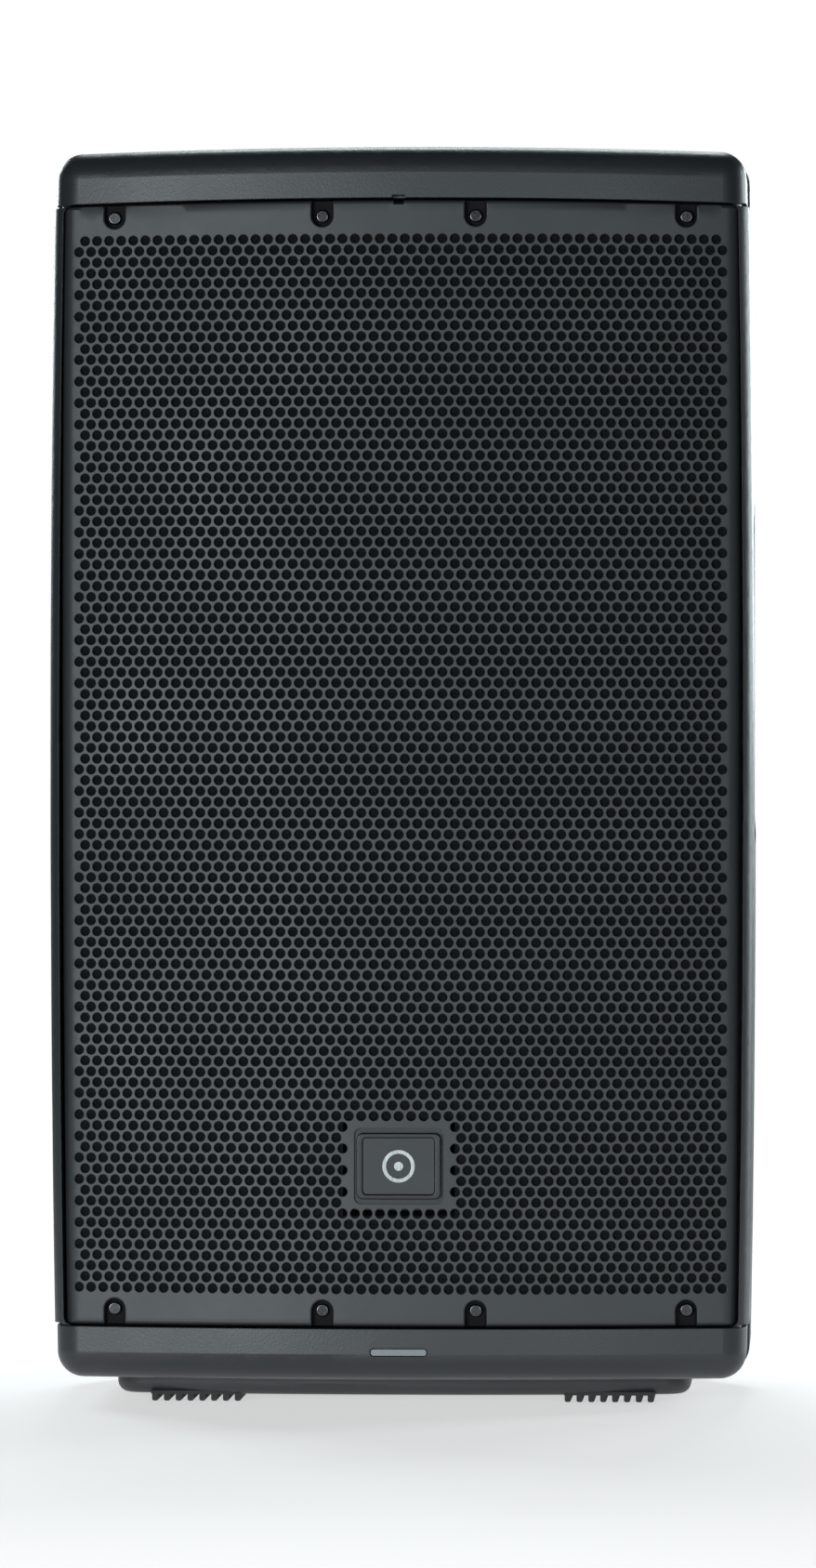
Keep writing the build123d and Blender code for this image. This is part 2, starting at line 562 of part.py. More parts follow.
# mains inlet and power switch
inlet = prism(49, 22.6, 5, PANEL_Y + 0.05, PANEL_Y + 2.6, INLET_X, POWER_Z) \
    + prism(27.6, 19.6, 1.8, 112, PANEL_Y + 1, INLET_X, POWER_Z)
inlet = inlet - prism(24.4, 16.4, 3.0, PANEL_Y + 2.6 - 17, PANEL_Y + 5, INLET_X, POWER_Z)
for dx, dz in ((-7, -1.6), (0, 2.4), (7, -1.6)):
    inlet = inlet + box(INLET_X + dx - 1, INLET_X + dx + 1, PANEL_Y + 2.6 - 18,
                        PANEL_Y + 2.6 - 5.5, POWER_Z + dz - 2, POWER_Z + dz + 2)
for s in (-1, 1):
    inlet = inlet - cyl(1.7, PANEL_Y - 1, PANEL_Y + 5, INLET_X + s * 19.6, POWER_Z)
P["mains_inlet"] = inlet

sw = prism(21, 28, 1.5, PANEL_Y + 0.05, PANEL_Y + 2.2, SWITCH_X, POWER_Z) \
    + prism(18.2, 24.8, 0.8, 113, PANEL_Y + 1, SWITCH_X, POWER_Z)
sw = sw - prism(15.8, 22.6, 0.4, 116, PANEL_Y + 5, SWITCH_X, POWER_Z)
P["power_switch_body"] = sw
PIVOT_Y = PANEL_Y - 2.0
rock = (Rot(0, 90, 0) * Cylinder(10.9, 15.0))
rock = rock & Box(15.0, 40, 40)
rock = rock - (Pos(0, 7.6 + 10, 0) * (Rot(0, 0, 0) * Box(30, 20, 40))
               - (Pos(0, 7.6, 0) * extrude(Plane.YZ * make_face(
                   Polyline((-1, 0), (-1, 12), (1.6, 12), (-0.6, 0), (1.6, -12), (-1, -12),
                            close=True)), amount=20, both=True)))
rock = rock - (Pos(0, -20 - 6.5, 0) * Box(30, 40, 40))
rock = Rot(8, 0, 0) * rock
P["power_rocker"] = Pos(SWITCH_X, PIVOT_Y, POWER_Z) * rock.solids().sort_by(SortBy.VOLUME)[-1]

# level controls
knob_names = ("gain_knob_1", "gain_knob_2", "master_knob")
bodies, shafts = [], []
for cx, name in zip(COL_X, knob_names):
    body = box(cx - 8.5, cx + 8.5, 118, 129.0, KNOB_Z - 8.5, KNOB_Z + 8.5) \
        - cyl(3.05, 121, 135, cx, KNOB_Z)
    bodies.append(body)
    kr = 9.6 if name != "master_knob" else 10.6
    k = turned([(0, 147.6), (kr - 2.2, 147.6), (kr - 1.4, 147.0), (kr - 0.8, 137.5),
                (kr, 136.6), (kr, 133.2), (3.0, 133.2), (3.0, 144.0), (0, 144.0)], cx, KNOB_Z)
    for j in range(16):
        a = math.radians(j * 22.5 + 11.25)
        k = k - cyl(1.0, 137.8, 150, cx + (kr - 0.5) * math.cos(a), KNOB_Z + (kr - 0.5) * math.sin(a))
    k = k - box(cx - 0.6, cx + 0.6, 146.9, 149, KNOB_Z + 1.5, KNOB_Z + kr)
    P[name] = k + cyl(3.0, 121.3, 144.5, cx, KNOB_Z)

button_names = ("input_button_1", "input_button_2", "eq_button")
sw_bodies = []
for cx, name in zip(COL_X, button_names):
    b = prism(7.0, 7.0, 1.0, 123.5, 136.8, cx, BUTTON_Z)
    b = fillet([e for e in b.edges() if abs(e.center().Y - 136.8) < 0.01], 0.8)
    P[name] = b
    sw_bodies.append(box(cx - 6, cx + 6, 114, 129.0, BUTTON_Z - 6, BUTTON_Z + 6)
                     - prism(7.7, 7.7, 1.2, 119, 140, cx, BUTTON_Z))
P["control_bodies"] = group(bodies + sw_bodies)
P["panel_lights"] = group([
    fillet([e for e in cyl(1.55, 127, 133.8, lx, lz).edges()
            if e.center().Y > 133.7 and e.length > 5], 1.2) for lx, lz in LEDS])

# amplifier electronics behind the panel
board = box(-62, 62, 98.4, 100.0, 148, 432)
P["amp_board"] = board
P["mains_transformer"] = turned([(12, 66), (14, 63), (34, 63), (38, 68), (38, 93), (34, 98.3),
                                 (14, 98.3), (12, 95)], 0, 215)
P["supply_capacitors"] = group([
    fillet(cyl(11, 66, 98.35, x, z).edges().filter_by(lambda e: e.center().Y < 66.1 and e.length > 20), 1.2)
    for x in (-26, 26) for z in (290.0, 318.0)])

# ------------------------------------------------------------- base and fixings
skid_o = extrude(plan_outline(SKID_INSET), amount=FLOOR_Z - SKID_Z0)
skid_o = Pos(0, 0, SKID_Z0) * (skid_o & box(-SKID_HALF, SKID_HALF, -300, 300, -50, 100))
vert = [e for e in skid_o.edges() if abs(e.tangent_at(0.5).Z) > 0.9]
skid_o = fillet(vert, 14.0)
skid_o = fillet([e for e in skid_o.edges() if abs(e.center().Z - SKID_Z0) < 0.01], 5.5)
skid_i = Pos(0, 0, 7.4) * extrude(plan_outline(SKID_INSET + 5) & Rectangle(257, 400), amount=10)
window = Pos(0, -1.0, 0) * extrude(RectangleRounded(66, 132, 6), amount=20)
frame_w = Pos(0, -1.0, 0) * extrude(RectangleRounded(74, 140, 8), amount=FLOOR_Z)
skid = (skid_o - (skid_i - frame_w)) - window
PADS = [(-97.7, -88.0), (97.7, -88.0), (-60.0, 72.0), (60.0, 72.0)]
RIB_PITCH, RIB_W = 5.6, 3.0
for px, py in PADS:
    skid = skid - box(px - 21.7, px + 21.7, py - 25.2, py + 25.2, 0, 4.9)
skid_bolts = [(sx * 112.0, -45.0) for sx in (-1, 1)] + [(sx * 46.0, 20.0) for sx in (-1, 1)]
for bx, by in skid_bolts:
    skid = skid + (Pos(bx, by, (6.0 + FLOOR_Z) / 2) * Cylinder(6, FLOOR_Z - 6.0))
    skid = skid - (Pos(bx, by, 8) * Cylinder(2.2, 20)) - (Pos(bx, by, 4.2) * Cylinder(4.4, 4.4))
P["base_skid"] = skid
pads = []
for px, py in PADS:
    p = box(px - 21.5, px + 21.5, py - 25, py + 25, 3.1, 4.85)
    for k in range(8):
        rx = px + (k - 3.5) * RIB_PITCH
        rib = box(rx - RIB_W / 2, rx + RIB_W / 2, py - 25, py + 25, 0, 3.2)
        p = p + fillet([e for e in rib.edges() if e.center().Z < 0.01 and e.length > 10], 1.0)
    pads.append(p)
P["foot_pads"] = group(pads)

# dual-angle pole socket
t = math.radians(TILT)
flange = Pos(0, -1.0, 8.2) * extrude(RectangleRounded(65.4, 131.4, 5.7), amount=FLOOR_Z - 8.25)
straight = Pos(0, POLE_Y, (4.0 + 94) / 2) * Cylinder(POLE_R + 4, 90)
tilt_loc = Pos(0, TILT_Y, 4.0) * Rot(-TILT, 0, 0)
leaning = tilt_loc * (Pos(0, 0, 45) * Cylinder(POLE_R + 4, 92))
socket = flange + straight + (leaning & box(-60, 60, -100, 100, 4.0, 200))
# funnel ribs joining the two tubes
socket = socket + box(-3, 3, -12, 12, 10, 70)
socket = socket - (Pos(0, POLE_Y, 0) * (Pos(0, 0, 40) * Cylinder(POLE_R, 100)))
socket = socket - (tilt_loc * (Pos(0, 0, 36) * Cylinder(POLE_R, 100)))
socket_bolts = [(sx * 28.8, y) for sx in (-1, 1) for y in (-62.0, 60.0)]
for bx, by in socket_bolts:
    socket = socket - (Pos(bx, by, 10) * Cylinder(2.1, 12))
P["pole_socket"] = socket
P["base_screws"] = group(
    [Pos(bx, by, 6.37) * pan_screw(3.6, 2.2, 1.9, 14) for bx, by in skid_bolts]
    + [Pos(bx, by, 8.15) * pan_screw(3.4, 2.0, 1.8, 13) for bx, by in socket_bolts])
P["shell_screws"] = group([Pos(wx, SEAM_Y + 12.05, wz) * (FROM_REAR * pan_screw(4.2, 2.8, 1.85, 30))
                           for wx, wz in wells])

# pilot holes through the cabinet floor for the skid and socket screws
shell2 = P["rear_shell"]
for bx, by in skid_bolts + socket_bolts:
    shell2 = shell2 - (Pos(bx, by, 14) * Cylinder(1.95, 14))
P["rear_shell"] = shell2

os.makedirs("parts", exist_ok=True)
for name, shape in P.items():
    export_step(shape, "parts/%s.step" % name)
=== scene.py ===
import json
import math

import bmesh
import bpy
import numpy as np
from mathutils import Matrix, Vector
from mathutils.geometry import delaunay_2d_cdt


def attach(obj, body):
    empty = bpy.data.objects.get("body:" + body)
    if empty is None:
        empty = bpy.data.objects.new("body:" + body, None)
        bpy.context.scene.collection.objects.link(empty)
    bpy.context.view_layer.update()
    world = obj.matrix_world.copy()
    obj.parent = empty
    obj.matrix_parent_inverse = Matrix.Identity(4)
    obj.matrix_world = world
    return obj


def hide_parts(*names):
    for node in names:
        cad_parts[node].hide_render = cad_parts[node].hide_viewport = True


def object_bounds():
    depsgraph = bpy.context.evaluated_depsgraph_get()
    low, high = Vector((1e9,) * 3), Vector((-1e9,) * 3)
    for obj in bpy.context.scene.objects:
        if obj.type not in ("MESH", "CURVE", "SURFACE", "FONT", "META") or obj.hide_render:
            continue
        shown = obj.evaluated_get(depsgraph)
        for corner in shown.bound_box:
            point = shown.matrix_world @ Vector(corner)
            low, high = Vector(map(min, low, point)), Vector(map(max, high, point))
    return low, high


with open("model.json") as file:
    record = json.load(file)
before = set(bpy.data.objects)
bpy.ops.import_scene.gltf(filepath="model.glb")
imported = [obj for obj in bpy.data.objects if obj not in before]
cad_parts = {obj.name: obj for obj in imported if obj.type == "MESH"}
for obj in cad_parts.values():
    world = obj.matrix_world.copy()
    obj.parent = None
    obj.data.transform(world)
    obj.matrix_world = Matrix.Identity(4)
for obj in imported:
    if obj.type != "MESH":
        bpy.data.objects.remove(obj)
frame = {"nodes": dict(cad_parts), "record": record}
cad_box = [[float(c) for c in p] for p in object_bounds()]
NODES = frame["nodes"]
ROOT = "cabinet"
MM = 0.001
scene = bpy.context.scene


# ===================================================================== camera
def look_at(obj, target):
    d = Vector(target) - obj.location
    obj.rotation_euler = d.to_track_quat("-Z", "Y").to_euler()


lo, hi = Vector(cad_box[0]), Vector(cad_box[1])
mid = (lo + hi) / 2
cam_data = bpy.data.cameras.new("camera")
cam = bpy.data.objects.new("camera", cam_data)
scene.collection.objects.link(cam)
cam.location = (0.20, lo.y - 3.95, 0.300)
look_at(cam, (0.004, lo.y + 0.01, 0.292))
cam_data.lens = 194.0
cam_data.sensor_width = 36.0
cam_data.sensor_fit = "VERTICAL"
cam_data.sensor_height = 36.0
cam_data.clip_end = 100.0
scene.camera = cam


# ================================================================= materials
def new_mat(name):
    m = bpy.data.materials.new(name)
    m.use_nodes = True
    nt = m.node_tree
    nt.nodes.clear()
    out = nt.nodes.new("ShaderNodeOutputMaterial")
    p = nt.nodes.new("ShaderNodeBsdfPrincipled")
    nt.links.new(p.outputs[0], out.inputs[0])
    return m, nt, p


def n(nt, kind, **kw):
    node = nt.nodes.new(kind)
    for k, v in kw.items():
        setattr(node, k, v)
    return node


def noise(nt, co, scale, detail=3.0, rough=0.55):
    t = n(nt, "ShaderNodeTexNoise")
    t.inputs["Scale"].default_value = scale
    t.inputs["Detail"].default_value = detail
    t.inputs["Roughness"].default_value = rough
    nt.links.new(co, t.inputs["Vector"])
    return t.outputs["Fac"]


def ramp(nt, fac, stops):
    r = n(nt, "ShaderNodeValToRGB")
    el = r.color_ramp.elements
    while len(el) < len(stops):
        el.new(0.5)
    for e, (pos, col) in zip(el, stops):
        e.position = pos
        e.color = (*col, 1.0) if len(col) == 3 else col
    nt.links.new(fac, r.inputs[0])
    return r.outputs[0]


def remap(nt, fac, a, b, lo_=0.0, hi_=1.0):
    m = n(nt, "ShaderNodeMapRange")
    m.inputs["From Min"].default_value = lo_
    m.inputs["From Max"].default_value = hi_
    m.inputs["To Min"].default_value = a
    m.inputs["To Max"].default_value = b
    nt.links.new(fac, m.inputs["Value"])
    return m.outputs[0]


def math_node(nt, op, a, b):
    m = n(nt, "ShaderNodeMath", operation=op)
    for i, v in enumerate((a, b)):
        if isinstance(v, (int, float)):
            m.inputs[i].default_value = v
        else:
            nt.links.new(v, m.inputs[i])
    return m.outputs[0]


def mix_col(nt, fac, a, b):
    m = n(nt, "ShaderNodeMix", data_type="RGBA")
    if isinstance(fac, (int, float)):
        m.inputs["Factor"].default_value = fac
    else:
        nt.links.new(fac, m.inputs["Factor"])
    for sock, v in ((m.inputs[6], a), (m.inputs[7], b)):
        if isinstance(v, tuple):
            sock.default_value = (*v, 1.0)
        else:
            nt.links.new(v, sock)
    return m.outputs[2]


def bump(nt, height, strength, dist, normal=None):
    b = n(nt, "ShaderNodeBump")
    b.inputs["Strength"].default_value = strength
    b.inputs["Distance"].default_value = dist
    nt.links.new(height, b.inputs["Height"])
    if normal is not None:
        nt.links.new(normal, b.inputs["Normal"])
    return b.outputs[0]


def obj_co(nt):
    return n(nt, "ShaderNodeTexCoord").outputs["Object"]


def edge_mask(nt, radius):
    """0 on open faces, up to 1 on sharp outer edges: the rounded normal leaves the true one there."""
    bev = n(nt, "ShaderNodeBevel", samples=4)
    bev.inputs["Radius"].default_value = radius
    geo = n(nt, "ShaderNodeNewGeometry")
    dot = n(nt, "ShaderNodeVectorMath", operation="DOT_PRODUCT")
    nt.links.new(bev.outputs[0], dot.inputs[0])
    nt.links.new(geo.outputs["Normal"], dot.inputs[1])
    return bev.outputs[0], remap(nt, dot.outputs["Value"], 1.0, 0.0, 0.72, 0.99)


def moulded(name, base, rough=(0.42, 0.56), grain=1500.0, depth=0.35, wear=0.35,
            lift=1.5, spec=0.5, bevel=0.0007, mottling=0.10):
    """Moulded plastic: cellular skin, cloudy gloss, faint colour drift and paler worn edges."""
    m, nt, p = new_mat(name)
    co = obj_co(nt)
    cell = n(nt, "ShaderNodeTexVoronoi", feature="SMOOTH_F1")
    cell.inputs["Scale"].default_value = grain
    cell.inputs["Smoothness"].default_value = 0.5
    nt.links.new(co, cell.inputs["Vector"])
    fine = noise(nt, co, grain * 0.55, 4.0, 0.6)
    h = math_node(nt, "ADD", math_node(nt, "MULTIPLY", cell.outputs["Distance"], -0.8), fine)
    if bevel:
        bn, mask = edge_mask(nt, bevel)
        nrm = bump(nt, h, depth, 0.00012, bn)
    else:
        mask = None
        nrm = bump(nt, h, depth, 0.00012)
    nt.links.new(nrm, p.inputs["Normal"])
    drift = noise(nt, co, 7.0, 5.0, 0.6)
    lo_c = tuple(c * (1 - mottling) for c in base)
    hi_c = tuple(c * (1 + mottling * 1.3) for c in base)
    col = ramp(nt, drift, [(0.30, lo_c), (0.72, hi_c)])
    col = mix_col(nt, math_node(nt, "MULTIPLY", fine, 0.22), col, tuple(min(1, c * 1.7 + 0.004) for c in base))
    if mask is not None:
        scuff = remap(nt, noise(nt, co, 60.0, 6.0, 0.7), 0.15, 1.0, 0.38, 0.66)
        worn = math_node(nt, "MULTIPLY", math_node(nt, "MULTIPLY", mask, scuff), wear)
        col = mix_col(nt, worn, col, tuple(min(1, c * lift + 0.045) for c in base))
    nt.links.new(col, p.inputs["Base Color"])
    r = remap(nt, noise(nt, co, 11.0, 4.0, 0.6), rough[0], rough[1], 0.25, 0.75)
    r = math_node(nt, "ADD", r, math_node(nt, "MULTIPLY", fine, 0.07))
    nt.links.new(r, p.inputs["Roughness"])
    p.inputs["Specular IOR Level"].default_value = spec
    return m


def coated(name, base, rough=(0.36, 0.46), grain=2600.0, depth=0.22, spec=0.5, bevel=0.0):
    """Powder coat on steel: fine orange peel with tiny specks."""
    m, nt, p = new_mat(name)
    co = obj_co(nt)
    peel = noise(nt, co, grain * 0.4, 2.0, 0.5)
    speck = noise(nt, co, grain, 3.0, 0.6)
    h = math_node(nt, "ADD", peel, math_node(nt, "MULTIPLY", speck, 0.5))
    base_n = edge_mask(nt, bevel)[0] if bevel else None
    nt.links.new(bump(nt, h, depth, 0.00009, base_n), p.inputs["Normal"])
    col = ramp(nt, noise(nt, co, 9.0, 5.0, 0.6),
               [(0.30, tuple(c * 0.93 for c in base)), (0.72, tuple(c * 1.08 for c in base))])
    col = mix_col(nt, remap(nt, speck, 0.0, 0.35, 0.52, 0.75), col, tuple(c * 1.55 for c in base))
    nt.links.new(col, p.inputs["Base Color"])
    r = remap(nt, noise(nt, co, 14.0, 4.0, 0.6), rough[0], rough[1], 0.25, 0.75)
    nt.links.new(math_node(nt, "ADD", r, math_node(nt, "MULTIPLY", speck, 0.08)), p.inputs["Roughness"])
    p.inputs["Specular IOR Level"].default_value = spec
    return m


def metal(name, base, rough=(0.22, 0.38), brush=None, depth=0.08, metallic=1.0):
    m, nt, p = new_mat(name)
    co = obj_co(nt)
    if brush:
        mp = n(nt, "ShaderNodeMapping")
        mp.inputs["Scale"].default_value = brush
        nt.links.new(co, mp.inputs["Vector"])
        streak = noise(nt, mp.outputs[0], 900.0, 4.0, 0.6)
    else:
        streak = noise(nt, co, 1300.0, 3.0, 0.6)
    nt.links.new(bump(nt, streak, depth, 0.00005), p.inputs["Normal"])
    col = ramp(nt, noise(nt, co, 40.0, 5.0, 0.6),
               [(0.3, tuple(c * 0.86 for c in base)), (0.75, tuple(min(1, c * 1.06) for c in base))])
    nt.links.new(col, p.inputs["Base Color"])
    nt.links.new(remap(nt, streak, rough[0], rough[1], 0.25, 0.75), p.inputs["Roughness"])
    p.inputs["Metallic"].default_value = metallic
    return m


def foam_mat(name, base):
    m, nt, p = new_mat(name)
    co = obj_co(nt)
    cell = n(nt, "ShaderNodeTexVoronoi", feature="F1")
    cell.inputs["Scale"].default_value = 1100.0
    nt.links.new(co, cell.inputs["Vector"])
    h = math_node(nt, "ADD", cell.outputs["Distance"], noise(nt, co, 2400.0, 3.0, 0.6))
    nt.links.new(bump(nt, h, 0.9, 0.0004), p.inputs["Normal"])
    col = ramp(nt, cell.outputs["Distance"],
               [(0.12, tuple(c * 0.35 for c in base)), (0.6, tuple(c * 1.5 for c in base))])
    nt.links.new(col, p.inputs["Base Color"])
    nt.links.new(remap(nt, noise(nt, co, 200.0), 0.85, 1.0), p.inputs["Roughness"])
    p.inputs["Specular IOR Level"].default_value = 0.25
    return m


def cloth_mat(name, base):
    m, nt, p = new_mat(name)
    co = obj_co(nt)
    w1 = n(nt, "ShaderNodeTexWave", bands_direction="X")
    w2 = n(nt, "ShaderNodeTexWave", bands_direction="Z")
    for w in (w1, w2):
        w.inputs["Scale"].default_value = 420.0
        w.inputs["Distortion"].default_value = 1.0
        nt.links.new(co, w.inputs["Vector"])
    h = math_node(nt, "ADD", w1.outputs["Fac"], w2.outputs["Fac"])
    nt.links.new(bump(nt, h, 0.6, 0.0002), p.inputs["Normal"])
    nt.links.new(ramp(nt, h, [(0.2, tuple(c * 0.6 for c in base)), (0.8, base)]), p.inputs["Base Color"])
    nt.links.new(remap(nt, h, 0.75, 0.95), p.inputs["Roughness"])
    return m


def board_mat(name):
    m, nt, p = new_mat(name)
    co = obj_co(nt)
    brick = n(nt, "ShaderNodeTexBrick")
    brick.inputs["Scale"].default_value = 60.0
    brick.inputs["Mortar Size"].default_value = 0.03
    brick.inputs["Color1"].default_value = (0.010, 0.075, 0.03, 1)
    brick.inputs["Color2"].default_value = (0.012, 0.06, 0.026, 1)
    brick.inputs["Mortar"].default_value = (0.03, 0.16, 0.07, 1)
    mp = n(nt, "ShaderNodeMapping")
    mp.inputs["Rotation"].default_value = (math.pi / 2, 0, 0)
    nt.links.new(co, mp.inputs["Vector"])
    nt.links.new(mp.outputs[0], brick.inputs["Vector"])
    nt.links.new(brick.outputs["Color"], p.inputs["Base Color"])
    nt.links.new(bump(nt, brick.outputs["Fac"], 0.3, 0.0001), p.inputs["Normal"])
    nt.links.new(remap(nt, noise(nt, co, 80.0), 0.25, 0.4), p.inputs["Roughness"])
    return m


def lens_mat(name, base, glow=0.0, glow_col=(1, 1, 1)):
    m, nt, p = new_mat(name)
    co = obj_co(nt)
    frost = noise(nt, co, 1800.0, 3.0, 0.6)
    nt.links.new(bump(nt, frost, 0.15, 0.00005), p.inputs["Normal"])
    nt.links.new(ramp(nt, noise(nt, co, 90.0, 3.0),
                      [(0.3, tuple(c * 0.88 for c in base)), (0.7, base)]), p.inputs["Base Color"])
    nt.links.new(remap(nt, frost, 0.25, 0.42), p.inputs["Roughness"])
    p.inputs["Subsurface Weight"].default_value = 0.0
    if glow:
        p.inputs["Emission Color"].default_value = (*glow_col, 1)
        p.inputs["Emission Strength"].default_value = glow
    return m


def ink_mat(name, base):
    m, nt, p = new_mat(name)
    co = obj_co(nt)
    nt.links.new(ramp(nt, noise(nt, co, 700.0, 4.0, 0.7),
                      [(0.28, tuple(c * 0.7 for c in base)), (0.6, base)]), p.inputs["Base Color"])
    nt.links.new(remap(nt, noise(nt, co, 300.0), 0.4, 0.6), p.inputs["Roughness"])
    return m


PLASTIC = (0.021, 0.024, 0.026)
MATS = {
    "cabinet_plastic": moulded("cabinet_plastic", PLASTIC, rough=(0.31, 0.40), grain=1300.0,
                               depth=0.30, wear=0.15),
    "handle_plastic": moulded("handle_plastic", (0.026, 0.028, 0.030), rough=(0.40, 0.55),
                              grain=1700.0, depth=0.3, wear=0.35, bevel=0.0006),
    "gasket_rubber": moulded("gasket_rubber", (0.012, 0.012, 0.013), rough=(0.6, 0.75),
                             grain=2200.0, depth=0.2, bevel=0),
    "foot_rubber": moulded("foot_rubber", (0.022, 0.023, 0.024), rough=(0.62, 0.8),
                           grain=1600.0, depth=0.35, wear=0.5, bevel=0.0005),
    "grille_steel": coated("grille_steel", (0.028, 0.032, 0.034)),
    "foam": foam_mat("foam", (0.0046, 0.0055, 0.0060)),
    "screw_steel": metal("screw_steel", (0.085, 0.088, 0.092), rough=(0.16, 0.26), depth=0.1),
    "badge_metal": metal("badge_metal", (0.46, 0.47, 0.48), rough=(0.22, 0.34),
                         brush=(1, 1, 0.08)),
    # near-black base; on the badge frame it is painted shade for the recess ring around the plate
    "badge_body": moulded("badge_body", (0.0075, 0.0085, 0.0092), rough=(0.24, 0.34), grain=2600.0,
                          depth=0.10, wear=0.6, bevel=0.0005),
    "badge_face": moulded("badge_face", (0.021, 0.024, 0.026), rough=(0.38, 0.48), grain=2400.0,
                          depth=0.16, wear=0.3, bevel=0.0003),
    "light_lens": lens_mat("light_lens", (0.25, 0.28, 0.30)),
    "cast_frame": coated("cast_frame", (0.05, 0.05, 0.052), grain=1500.0, depth=0.4),
    "plated_steel": metal("plated_steel", (0.62, 0.61, 0.57), rough=(0.26, 0.42), brush=(1, 8, 1)),
    "ferrite": metal("ferrite", (0.11, 0.11, 0.115), rough=(0.5, 0.7), depth=0.3, metallic=0.2),
    "cone_paper": moulded("cone_paper", (0.04, 0.04, 0.041), rough=(0.75, 0.9), grain=700.0,
                          depth=0.6, bevel=0),
    "coil_former": metal("coil_former", (0.72, 0.42, 0.24), rough=(0.25, 0.4), brush=(1, 30, 1), depth=0.4),
    "spider_cloth": cloth_mat("spider_cloth", (0.46, 0.34, 0.18)),
    "horn_plastic": moulded("horn_plastic", (0.030, 0.032, 0.034), rough=(0.34, 0.46),
                            grain=2000.0, depth=0.15, bevel=0.0006),
    "diaphragm_foil": metal("diaphragm_foil", (0.66, 0.67, 0.69), rough=(0.2, 0.32)),
    "panel_paint": coated("panel_paint", (0.024, 0.026, 0.028), rough=(0.42, 0.56), grain=1900.0,
                          depth=0.35),
    "heatsink_black": metal("heatsink_black", (0.045, 0.046, 0.05), rough=(0.34, 0.5),
                            brush=(1, 1, 0.05), depth=0.15, metallic=0.7),
    "socket_plastic": moulded("socket_plastic", (0.018, 0.018, 0.020), rough=(0.32, 0.46),
                              grain=2300.0, depth=0.12, bevel=0.0003),
    "latch_metal": metal("latch_metal", (0.62, 0.62, 0.6), rough=(0.24, 0.4), brush=(0.1, 1, 1)),
    "knob_plastic": moulded("knob_plastic", (0.030, 0.031, 0.034), rough=(0.40, 0.55),
                            grain=2300.0, depth=0.2, wear=0.4, bevel=0.0003),
    "circuit_board": board_mat("circuit_board"),
    "transformer_tape": moulded("transformer_tape", (0.42, 0.27, 0.04), rough=(0.3, 0.45),
                                grain=500.0, depth=0.3, bevel=0),
    "capacitor_sleeve": moulded("capacitor_sleeve", (0.02, 0.022, 0.06), rough=(0.2, 0.34),
                                grain=2500.0, depth=0.08, bevel=0),
}
INK = ink_mat("panel_ink", (0.72, 0.73, 0.74))
GREEN = lens_mat("light_green", (0.10, 0.45, 0.12), glow=0.6, glow_col=(0.1, 1.0, 0.2))
SLOT = {s["node"]: s.get("material_slot", s["node"]) for s in frame["record"]["subparts"]}
for name, ob in NODES.items():
    key = SLOT.get(name)
    mat = MATS.get(key)
    if mat is None:
        mat = MATS["cabinet_plastic"]
    # painted shade: the badge frame takes the near-black badge_body material, standing in for the shaded recess
    # ring around the plate
    if name == "badge_frame":
        mat = MATS["badge_body"]
    if ob.type == "MESH":
        if ob.material_slots:
            for s_ in ob.material_slots:
                s_.material = mat
        else:
            ob.data.materials.append(mat)


def add_mesh(name, verts, faces, mat, body=ROOT, smooth_deg=35.0):
    me = bpy.data.meshes.new(name)
    me.from_pydata([tuple(map(float, v)) for v in verts], [], faces)
    me.validate()
    me.update()
    me.materials.append(mat)
    if smooth_deg is not None:
        me.polygons.foreach_set("use_smooth", [True] * len(me.polygons))
        me.set_sharp_from_angle(angle=math.radians(smooth_deg))
    ob = bpy.data.objects.new(name, me)
    scene.collection.objects.link(ob)
    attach(ob, body)
    return ob


# ======================================================= perforated steel grille
# sheet form in (u, v): u along the bowed section from the centre, v = height
R_FACE = 798.0            # radius of the sheet's face
Y_FACE = -150.5
SHEET = 1.4
HALF_MAX, HALF_END, Z_WIDE = 159.9, 157.75, 375.0
ROLL_S = 7.0              # side wrap
ROLL_V = 1.8              # top and bottom edge
Z_LO, Z_HI, CROWN = 37.8, 565.5, 2.0
FLANGE_V = 4.2
Y_BACK = -127.0


def half_at(v):
    h = (Z_HI - Z_LO) / 2
    t = (v - Z_WIDE) / (Z_WIDE - Z_LO if v < Z_WIDE else Z_HI - Z_WIDE)
    k = (HALF_MAX - HALF_END) * (t * t if v < Z_WIDE else t * t * 0.33)
    return HALF_MAX - k


def section(u, v):
    """Point (x, y) and outward normal of the face at arc length u."""
    s, au = (1.0 if u >= 0 else -1.0), abs(u)
    half = half_at(v)
    # centre of the wrap sits on the circle of radius R_FACE - ROLL_S about (0, yc)
    yc = Y_FACE + R_FACE
    cx = half - ROLL_S
    th1 = math.asin(cx / (R_FACE - ROLL_S))
    u1 = th1 * R_FACE
    if au <= u1:
        th = au / R_FACE
        x, y, nx, ny = R_FACE * math.sin(th), yc - R_FACE * math.cos(th), math.sin(th), -math.cos(th)
    else:
        cy = yc - (R_FACE - ROLL_S) * math.cos(th1)
        th = th1 + (au - u1) / ROLL_S
        if th <= math.pi / 2:
            x, y = cx + ROLL_S * math.sin(th), cy - ROLL_S * math.cos(th)
            nx, ny = math.sin(th), -math.cos(th)
        else:
            rest = (th - math.pi / 2) * ROLL_S
            x, y, nx, ny = cx + ROLL_S, cy + rest, 1.0, 0.0
    return s * x, y, s * nx, ny


def edge_top(x):
    return Z_HI - CROWN * (x / 158.8) ** 2


